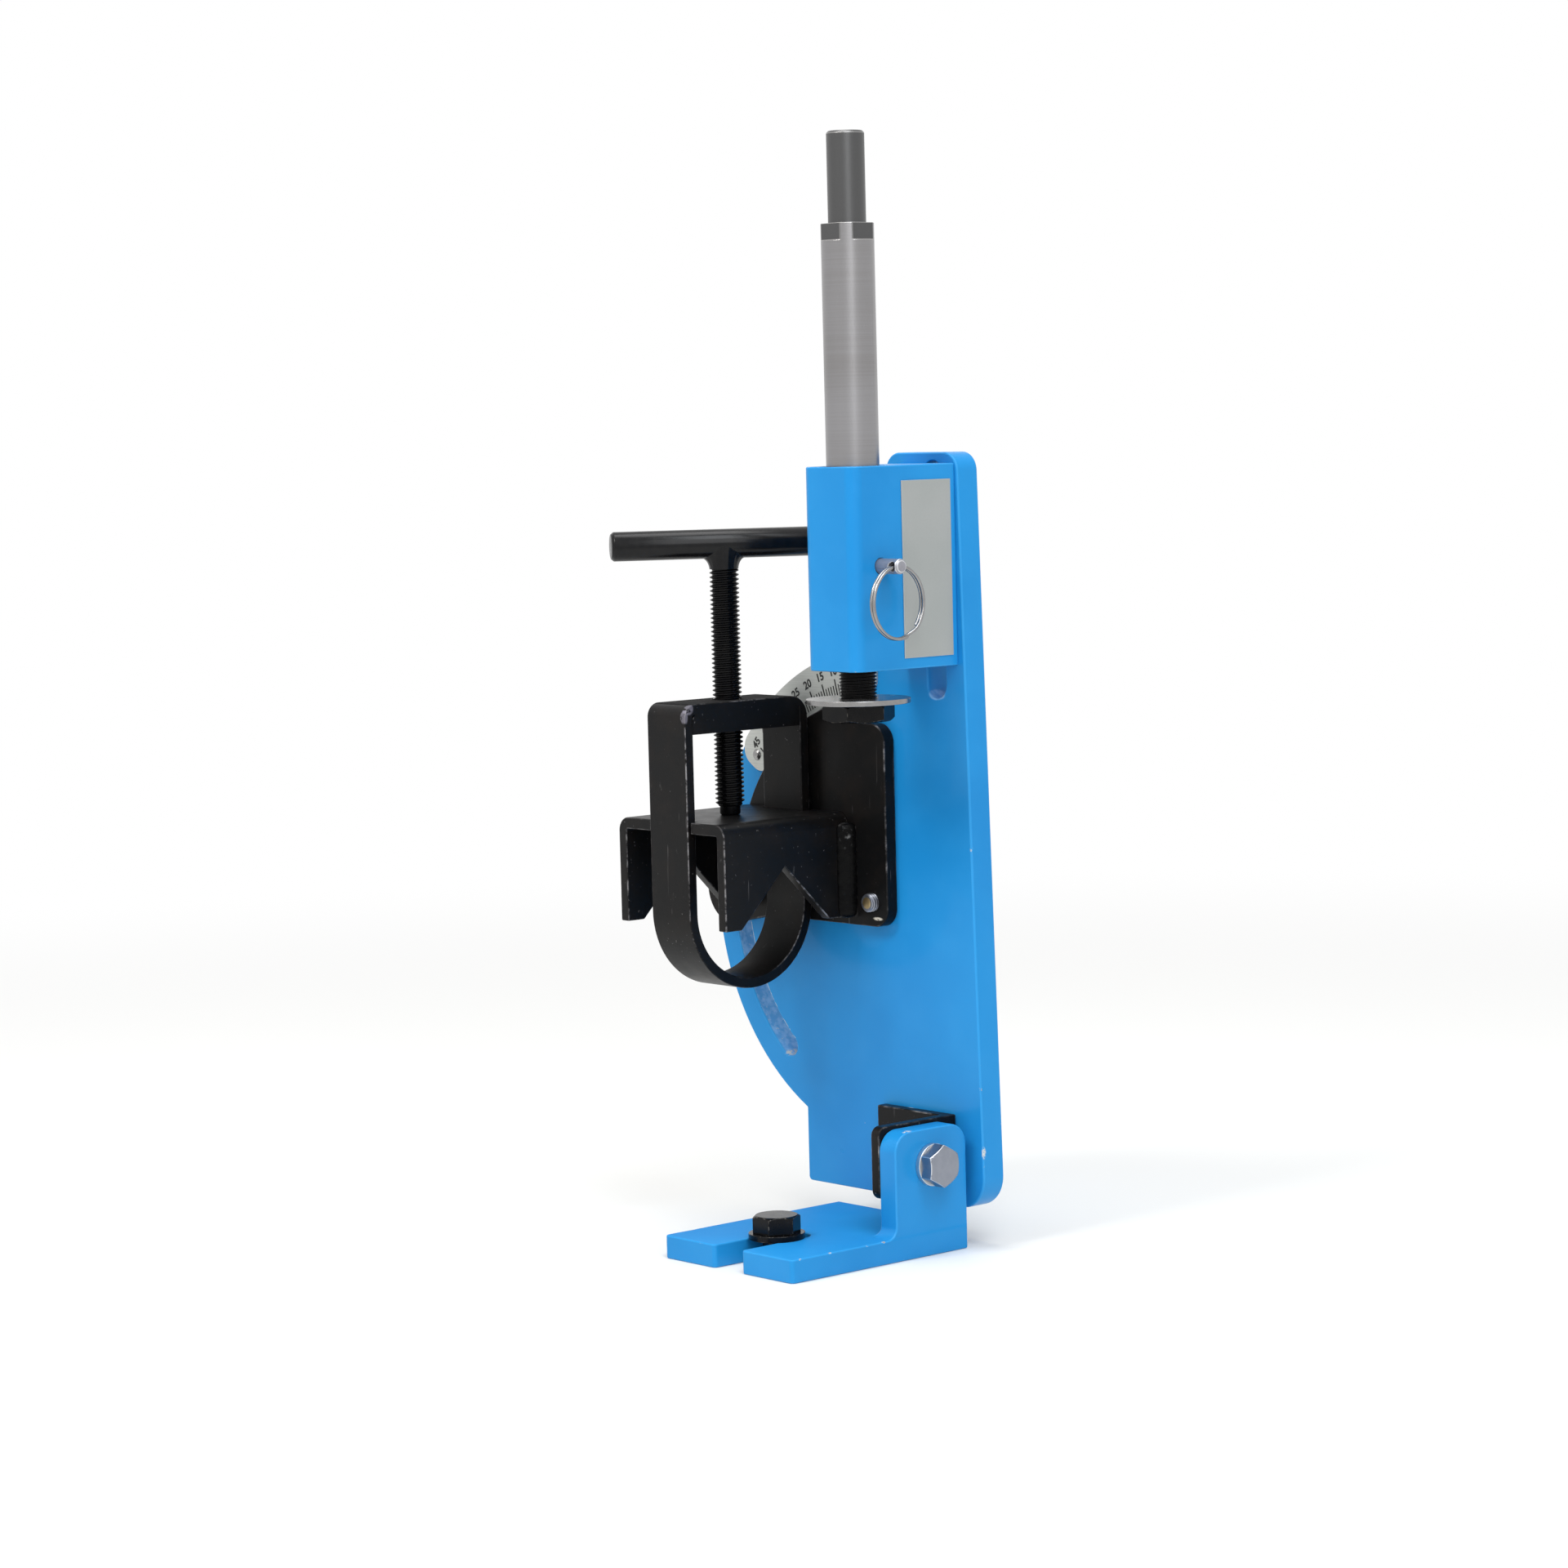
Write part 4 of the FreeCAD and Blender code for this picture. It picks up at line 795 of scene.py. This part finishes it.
def threadTree(look):
    # a grid rolled into a rod: four rows to a turn, and each row climbs one pitch round the rod
    board, given = newTree("threadedRod", {
        "Low": 0.0, "High": 0.03, "Pitch": 0.002, "Crest": 0.006, "Root": 0.005, "End": 0.005,
        "Columns": 40, "Finish": None})
    low, high, pitch, root, end = (given[name] for name in ("Low", "High", "Pitch", "Root", "End"))
    rows = board.maths("CEIL", (high - low) / pitch) * 4 + look["spareRows"]
    sheet, across, along = flatSheet(board, given["Columns"], rows)
    row = board.maths("ROUND", along * (rows - 1))
    inner = row - 1
    turn = board.maths("FLOOR", inner / 4)
    part = inner - turn * 4
    onCrest = part > 1.5
    share = (part > 0.5) * look["flat"] + onCrest * look["flank"] + (part > 2.5) * look["flat"]
    height = (low + pitch * (turn + share + across - 1)).between(low, high)
    wall = root + (given["Crest"] - root) * onCrest
    wall = board.maths("MINIMUM", wall, end + (height - low))
    wall = board.maths("MINIMUM", wall, end + (high - height))
    # the first and last rows close the rod
    last = row > rows - 1.5
    first = 1 - (row > 0.5)
    wall = wall * (1 - last) * (1 - first)
    height = height * (1 - last) * (1 - first) + high * last + low * first
    angle = across * (2 * math.pi)
    rolled = movedTo(board, sheet, wall * board.maths("COSINE", angle),
                     wall * board.maths("SINE", angle), height)
    return endTree(board, merged(board, rolled), given["Finish"])


threadedRod = threadTree(threadLook)


def threadMesh(name, low, high, pitch, crest, depth, columns, finish, end=None):
    return grown(threadedRod, name, {
        "Low": low * mm, "High": high * mm, "Pitch": pitch * mm, "Crest": crest * mm,
        "Root": (crest - depth) * mm, "End": (end or crest - depth) * mm,
        "Columns": columns, "Finish": finish})


threadedEnds = {
    # node: piece, body, slot, broken edge, end of the thread, its way in, length, reach of the
    # thinned shank, pitch, crest, depth
    "pivot_bolt": ("pivotBolt", "clamp", "yellow_zinc", 0.2,
                   (-13, 67.5, 144.5), (0, 1, 0), 5.0, 1.1, 1.25, 4.0, 0.6),
    "lock_bolt": ("lockBolt", "clamp", "yellow_zinc", 0.2,
                  (-106, 67.5, 144.5), (0, 1, 0), 5.0, 1.1, 1.25, 4.0, 0.6),
    "tilt_bolt": ("tiltBolt", "foot", "zinc_plate", 0.25,
                  (14.1, 52, 39), (1, 0, 0), 5.0, 1.1, 1.5, 5.0, 0.75),
    "swivel_bolt": ("swivelBolt", "knuckle", "zinc_plate", 0.25,
                    (9, 101.9, 40), (0, -1, 0), 5.0, 1.1, 1.5, 5.0, 0.75),
    "table_bolt": ("tableBolt", "foot", "black_oxide", 0.25,
                   (0, 0, -27.5), (0, 0, 1), 26.5, 27.6, 1.75, 5.8, 0.85),
    "arbor_shaft": ("arborShaft", "arbor", "ground_steel", 0.25,
                    (22, 33.5, 227), (0, 0, 1), 23.9, 24.1, 1.411, 7.94, 0.8),
}
threadSlots = {"ground_steel": "black_oxide", "yellow_zinc": "zinc_plate"}
boltFace = {
    # the plated end inside the thread of such a bolt, its outline as radius and height
    "slot": "yellow_zinc", "columns": 32, "shade": 40,
    "outline": [(0, -0.06), (2.35, -0.06), (2.5, 0), (2.5, 0.4), (0, 0.4)],
}


def buildThreadedEnds(look):
    for node, row in threadedEnds.items():
        name, body, slot, width, end, way, length, reach, pitch, crest, depth = row
        roundedPiece(node, name, body, slot, width,
                     thin=(end, way, reach, crest, crest - depth - look["under"]))
        skin = finishes[threadSlots.get(slot, slot)]
        mesh = threadMesh(name + "Thread", 0, length, pitch, crest, depth, look["columns"], skin)
        placedMesh(shadedMesh(mesh, look["shade"]), alignedTo(end, way))
        newPiece(name + "Thread", outward(mesh), body, slot, material=skin)
        if slot == boltFace["slot"]:
            face = lathed(name + "Face", boltFace["outline"], boltFace["columns"])
            placedMesh(shadedMesh(face, boltFace["shade"]), alignedTo(end, way))
            newPiece(name + "Face", outward(face), body, slot)


buildThreadedEnds(threadLook)
print("threaded ends made:", len(threadedEnds))

clampScrewLook = {
    "foot": (-62.0, 33.5, 0), "low": 186.9, "high": 290.8, "pitch": 1.954, "crest": 6.34,
    "depth": 1.1, "end": 4.8, "columns": 44, "shade": 32, "tipColumns": 40,
    # the plain tip, as radius and height
    "tip": [(0, 183.0), (3.6, 183.0), (4.25, 183.35), (4.5, 184.0), (4.5, 187.5),
            (3.9, 187.8), (0, 187.8)],
}


def buildClampScrew(look):
    thread = threadMesh("screwThread", look["low"], look["high"], look["pitch"], look["crest"],
                        look["depth"], look["columns"], finishes["black_oxide"], look["end"])
    tip = lathed("screwTip", look["tip"], look["tipColumns"])
    for mesh in (thread, tip):
        placedMesh(shadedMesh(mesh, look["shade"]), alignedTo(look["foot"], (0, 0, 1)))
    newPiece("clampScrewThread", outward(thread), "screw", "black_oxide", "clamp_screw")
    newPiece("clampScrewTip", tip, "screw", "black_oxide")


buildClampScrew(clampScrewLook)

teeLook = {
    "centre": (-62.0, 33.5, 300.5), "turn": 58.0, "radius": 6.35, "barColumns": 56, "shade": 30,
    # half of the bar, turned off to a chamfer, as radius and distance from its middle
    "end": [(0, 49.0), (5.1, 49.0), (5.35, 48.92), (6.2, 47.95), (6.35, 47.65)],
    "weldLow": 289.6, "along": 9.6, "across": 6.28, "neck": 6.3, "columns": 56, "rows": 9,
    "ripple": 0.14, "ripples": 17, "sunk": 0.12, "core": 0.7, "weldShade": 60,
}


def buildTee(look):
    outline = [(radius, -far) for radius, far in look["end"]] + look["end"][::-1]
    bar = lathed("teeRod", outline, look["barColumns"])
    turn = math.radians(look["turn"])
    placedMesh(bar, alignedTo(look["centre"], (math.cos(turn), math.sin(turn), 0)))
    newPiece("teeRod", shadedMesh(bar, look["shade"]), "screw", "black_oxide", "tee_bar",
             material=ownFinishes["tee"])


def buildTeeWeld(look):
    # a fillet that starts round the stem and spreads along the bar's underside
    x, y, high = look["centre"]
    rings = []
    for i in range(look["rows"] + 1):
        t = i / look["rows"] * math.pi / 2
        ring = []
        for a in circleOf(look["columns"]):
            across = look["across"] * math.sin(a)
            under = high - math.sqrt(look["radius"] ** 2 - across ** 2) + look["sunk"]
            stem = Vector((look["neck"] * math.cos(a), look["neck"] * math.sin(a)))
            spread = stem.lerp(Vector((look["along"] * math.cos(a), across)), 1 - math.cos(t))
            swell = look["ripple"] * math.sin(t * 2) * math.sin(a * look["ripples"])
            spread *= 1 + swell / look["neck"]
            height = look["weldLow"] + (under - look["weldLow"]) * math.sin(t)
            ring.append((*spread, height))
        rings.append(ring)
    # closed through the stem
    for ring in (rings[-1], rings[0]):
        rings.append([(px * look["core"], py * look["core"], pz) for px, py, pz in ring])
    mesh = shadedMesh(skinMesh("teeWeld", rings, looped=True), look["weldShade"])
    newPiece("teeWeld", placedMesh(mesh, standAt((x, y, 0), look["turn"])), "screw",
             "black_oxide", material=ownFinishes["tee"])


buildTee(teeLook)
buildTeeWeld(teeLook)
print("clamp screw and tee made")


# Weld bead

beadLook = {
    "foot": (-25.3, 67.6, 137.2), "length": 42.0, "radius": 4.8, "swell": 0.16,
    "spacing": 5.2, "lag": 2.6, "uneven": 0.25, "columns": 36, "rows": 150, "flat": 0.5,
    "turn": -35.5, "shade": 60,
    # how blunt its ends are, and the scale of its unevenness round and along it
    "blunt": 4, "tip": 0.02, "closed": 0.0001, "grain": 1.1, "grainAlong": 120,
}


def beadTree(look):
    # rows climb the bead; each ripple swells and lags behind at its middle
    board, given = newTree("weldBead", {
        "Length": 0.04, "Radius": 0.004, "Swell": 0.0004, "Spacing": 0.002, "Lag": 0.001,
        "Uneven": 0.0005, "Columns": 28, "Rows": 150, "Seed": 4.0, "Finish": None})
    sheet, across, along = flatSheet(board, given["Columns"], given["Rows"])
    angle = across * (2 * math.pi)
    cosine, sine = board.maths("COSINE", angle), board.maths("SINE", angle)
    height = along * given["Length"]
    lagged = (height + given["Lag"] * (1 - cosine)) / given["Spacing"]
    share = board.maths("FRACT", lagged)
    ripple = share * (1 - share) * 4
    end = 2 * along - 1
    for _ in range(look["blunt"]):
        end = end * end
    taper = (1 - end).between(look["tip"], 1)
    grain = board.node("ShaderNodeTexNoise", {"noise_dimensions": "4D"}, {
        "Vector": board.vector(cosine, sine, height * look["grainAlong"]), "W": given["Seed"],
        "Scale": look["grain"], "Detail": 1.0})
    wall = given["Radius"] + given["Swell"] * (ripple - 1) + given["Uneven"] * (grain - 0.5)
    wall = wall * board.maths("SQRT", taper)
    # the first and last rows close the bead
    wall = wall * ((along > look["closed"]) * (1 - (along > 1 - look["closed"])))
    rolled = movedTo(board, sheet, wall * cosine, wall * sine, height)
    marked = board.node("GeometryNodeStoreNamedAttribute", {
        "domain": "POINT", "data_type": "FLOAT"}, {
        "Geometry": rolled, "Name": "crest", "Value": ripple})
    return endTree(board, merged(board, marked), given["Finish"])


def buildBead(look):
    sizes = {name.capitalize(): look[name] * mm
             for name in ("length", "radius", "swell", "spacing", "lag", "uneven")}
    mesh = grown(beadTree(look), "weldBead", {
        **sizes, "Columns": look["columns"], "Rows": look["rows"], "Finish": ownFinishes["weld"]})
    # its low side looks out of the corner between flange and plate
    stand = standAt(look["foot"], look["turn"]) @ Matrix.Diagonal((look["flat"], 1, 1, 1))
    mesh = outward(placedMesh(mesh, stand))
    newPiece("weldBead", shadedMesh(mesh, look["shade"]), "clamp", "black_paint",
             material=ownFinishes["weld"])


buildBead(beadLook)
print("weld bead made")


# Scale marks

scaleLook = {
    "centre": (-13.0, 75.5, 144.5), "zero": 5.3, "count": 46, "inner": 91.2, "short": 96.4,
    "long": 99.0, "longEvery": 5.0, "longBold": 0.25, "thick": 0.6, "proud": 0.06,
    "numbers": range(0, 50, 5), "numberRadius": 102.3, "numberSize": 5.0, "bold": 0.16,
    "curveSteps": 4,
}


def tickTree(look):
    # one tick a degree, each fifth one longer, turned about the pivot
    board, given = newTree("scaleTicks", {
        "Count": 46, "Zero": 0.09, "Inner": 0.09, "Short": 0.095, "Long": 0.098,
        "Thick": 0.0003, "Proud": 0.0001, "Finish": None})
    points = board.node("GeometryNodeMeshLine", {}, {"Count": given["Count"]})
    index = board.node("GeometryNodeInputIndex", {}, {})
    angle = given["Zero"] + index * math.radians(1.0)
    fifth = 1 - (board.maths("FLOORED_MODULO", index, look["longEvery"]) > 0.5)
    outer = given["Short"] + (given["Long"] - given["Short"]) * fifth
    middle = (outer + given["Inner"]) * 0.5
    placed = movedTo(board, points, middle * board.maths("SINE", angle) * -1, 0.0,
                     middle * board.maths("COSINE", angle))
    tick = board.node("GeometryNodeMeshCube", {}, {"Size": (1.0, 1.0, 1.0)})
    spun = board.node("FunctionNodeEulerToRotation", {}, {0: board.vector(0.0, angle * -1, 0.0)})
    sized = board.vector(given["Thick"] * (1 + fifth * look["longBold"]), given["Proud"] * 2,
                         outer - given["Inner"])
    marks = board.node("GeometryNodeInstanceOnPoints", {}, {
        "Points": placed, "Instance": tick, "Rotation": spun, "Scale": sized})
    return endTree(board, marks, given["Finish"])


def numberMesh(text, look):
    curve = bpy.data.curves.new("digits", "FONT")
    curve.body = text
    curve.size = look["numberSize"] * mm
    curve.extrude = look["proud"] * mm
    curve.offset = look["bold"] * mm
    curve.align_x = "CENTER"
    curve.align_y = "CENTER"
    curve.resolution_u = look["curveSteps"]
    return plainMesh(newObject("digits", curve))


def buildScaleMarks(look):
    ink = ownFinishes["marks"]
    sizes = {name.capitalize(): look[name] * mm
             for name in ("inner", "short", "long", "thick", "proud")}
    ticks = grown(tickTree(look), "scaleTicks", {
        **sizes, "Count": look["count"], "Zero": math.radians(look["zero"]), "Finish": ink})
    centre = Vector(look["centre"]) * mm
    placedMesh(ticks, Matrix.Translation(centre))
    newPiece("scaleTicks", ticks, "frame", "scale_metal", material=ink)
    shell = bmesh.new()
    upright = Matrix.Rotation(math.pi / 2, 4, "X")
    for number in look["numbers"]:
        angle = math.radians(number + look["zero"])
        out = Vector((-math.sin(angle), 0, math.cos(angle))) * look["numberRadius"] * mm
        stand = Matrix.Translation(centre + out) @ Matrix.Rotation(-angle, 4, "Y") @ upright
        shell.from_mesh(placedMesh(numberMesh(str(number), look), stand))
    newPiece("scaleNumbers", meshOf(shell, "scaleNumbers"), "frame", "scale_metal", material=ink)


buildScaleMarks(scaleLook)
print("scale marks made")


# Split ring

ringLook = {
    "centre": (47.5, 33.5, 277.0), "radius": 15.0, "wire": 0.7, "side": 0.72, "chamfer": 0.18,
    "cut": -56.0, "crossing": 13.0, "gap": 1.5, "columns": 16, "rows": 240, "yaw": 4.0,
    "shade": 50,
}


def buildSplitRing(look):
    # one wire twice round, stepping across to its second turn beside its two cut ends
    centre = Vector(look["centre"])
    crossing = look["crossing"]
    begin, finish = crossing + look["gap"], 720 - crossing - look["gap"]
    rings = []
    for i in range(look["rows"] + 1):
        turn = begin + (finish - begin) * i / look["rows"]
        t = min(max((turn - 360 + crossing) / (2 * crossing), 0), 1)
        shift = look["side"] * (2 * (t * t * (3 - 2 * t)) - 1)
        angle = math.radians(turn + look["cut"])
        out = Vector((0, math.cos(angle), math.sin(angle)))
        middle = centre + out * look["radius"] + Vector((shift, 0, 0))
        wire = look["wire"] - (look["chamfer"] if i in (0, look["rows"]) else 0)
        rings.append([middle + (Vector((math.cos(a) * wire, 0, 0)) + out * math.sin(a) * wire)
                      for a in circleOf(look["columns"])])
    mesh = skinMesh("splitRing", rings, capped=True)
    placedMesh(mesh, standAt(centre, look["yaw"]) @ Matrix.Translation(-centre * mm))
    newPiece("splitRing", shadedMesh(mesh, look["shade"]), "pin_ring", "bright_steel", "pin_ring")


buildSplitRing(ringLook)
print("split ring made")


# Stage

stageLook = {
    # where the camera aims and stands, in millimetres and degrees
    "target": (22.0, 33.5, 0.0), "acrossMm": -31.928, "upMm": 201.388, "distance": 1775.425,
    "azimuth": 48.63, "pitch": 5.154, "roll": -1.436,
    "focal": 5191.016, "imageWidth": 1920,  # pixels
    "sensor": 36, "clipEnd": 50,
    # in metres
    "floorRadius": 9.0, "floorSides": 96, "fade": (0.35, 1.5), "aim": (0.0, 0.04, 0.2),
    "floor": paintOf(236, 236, 234), "white": (1, 1, 1, 1), "world": 0.48,
}


def seenRays(board):
    # one where the backdrop itself is seen, straight, mirrored or through glass
    rays = [board.node("ShaderNodeLightPath", {}, {}, ray)
            for ray in ("Is Camera Ray", "Is Glossy Ray", "Is Transmission Ray")]
    return (rays[0] + rays[1] + rays[2]).between(0, 1)


def buildFloor(look):
    # a pale disc that fades to white away from the object and keeps its shadow
    shell = bmesh.new()
    bmesh.ops.create_circle(shell, cap_ends=True, segments=look["floorSides"],
                            radius=look["floorRadius"])
    mesh = meshOf(shell, "floor")
    floor = newObject("floor", mesh)
    f = Finish("floorPale", Roughness=0.6, Base_Color=look["floor"])
    far = f.node("ShaderNodeVectorMath", {"operation": "LENGTH"}, {0: f.place}, "Value")
    white = f.node("ShaderNodeEmission", {}, {"Color": look["white"], "Strength": 1.0})
    both = f.node("ShaderNodeMixShader", {}, {
        0: f.step(far, *look["fade"]) * seenRays(f),
        1: Wire(f, f.shader.outputs["BSDF"]), 2: white})
    f.tree.links.new(both.socket, f.tree.nodes["Material Output"].inputs["Surface"])
    mesh.materials.append(f.material)


def buildWorld(look):
    world = bpy.data.worlds.new("studio")
    world.use_nodes = True
    bpy.context.scene.world = world
    board = Board(world.node_tree)
    light, seen = (board.node("ShaderNodeBackground", {}, {
        "Color": look["white"], "Strength": strength}) for strength in (look["world"], 1.0))
    both = board.node("ShaderNodeMixShader", {}, {0: seenRays(board), 1: light, 2: seen})
    world.node_tree.links.new(both.socket, world.node_tree.nodes["World Output"].inputs["Surface"])


lamps = {
    # name: place in metres, width, height, watts, colour
    "keyLamp": ((-0.2, -1.55, 1.85), 0.7, 0.7, 22.0, (1.0, 0.98, 0.95)),
    "sideLamp": ((1.5, -0.85, 1.25), 0.9, 1.4, 12.0, (0.96, 0.98, 1.0)),
    "topLamp": ((-0.2, 0.1, 2.1), 1.0, 1.0, 14.0, (1.0, 1.0, 1.0)),
    "barLamp": ((0.95, -0.25, 1.9), 0.85, 0.85, 15.0, (0.92, 0.96, 1.0)),
}


def buildLamps(look):
    for name, (place, wide, tall, watts, colour) in lamps.items():
        light = bpy.data.lights.new(name, "AREA")
        light.shape = "RECTANGLE"
        light.size = wide
        light.size_y = tall
        light.energy = watts
        light.color = colour
        lamp = newObject(name, light)
        lamp.location = place
        towards = Vector(look["aim"]) - Vector(place)
        lamp.rotation_euler = towards.to_track_quat("-Z", "Y").to_euler()


def buildCamera(look):
    azimuth, pitch, roll = (math.radians(look[name]) for name in ("azimuth", "pitch", "roll"))
    right = Vector((math.cos(azimuth), math.sin(azimuth), 0))
    ahead = Vector((-math.sin(azimuth) * math.cos(pitch), math.cos(azimuth) * math.cos(pitch),
                    -math.sin(pitch)))
    up = right.cross(ahead)
    target = Vector(look["target"]) + right * look["acrossMm"] + Vector((0, 0, look["upMm"]))
    camera = newObject("camera", bpy.data.cameras.new("camera"))
    camera.data.sensor_width = look["sensor"]
    camera.data.lens = look["focal"] / look["imageWidth"] * look["sensor"]
    camera.data.clip_end = look["clipEnd"]
    turned = Matrix((right * math.cos(roll) + up * math.sin(roll),
                     up * math.cos(roll) - right * math.sin(roll), -ahead)).transposed()
    place = Matrix.Translation((target - ahead * look["distance"]) * mm)
    camera.matrix_world = place @ turned.to_4x4()
    bpy.context.scene.camera = camera


buildFloor(stageLook)
buildWorld(stageLook)
buildLamps(stageLook)
buildCamera(stageLook)
bpy.context.scene.view_settings.view_transform = "Standard"
print("stage, lamps and camera placed")
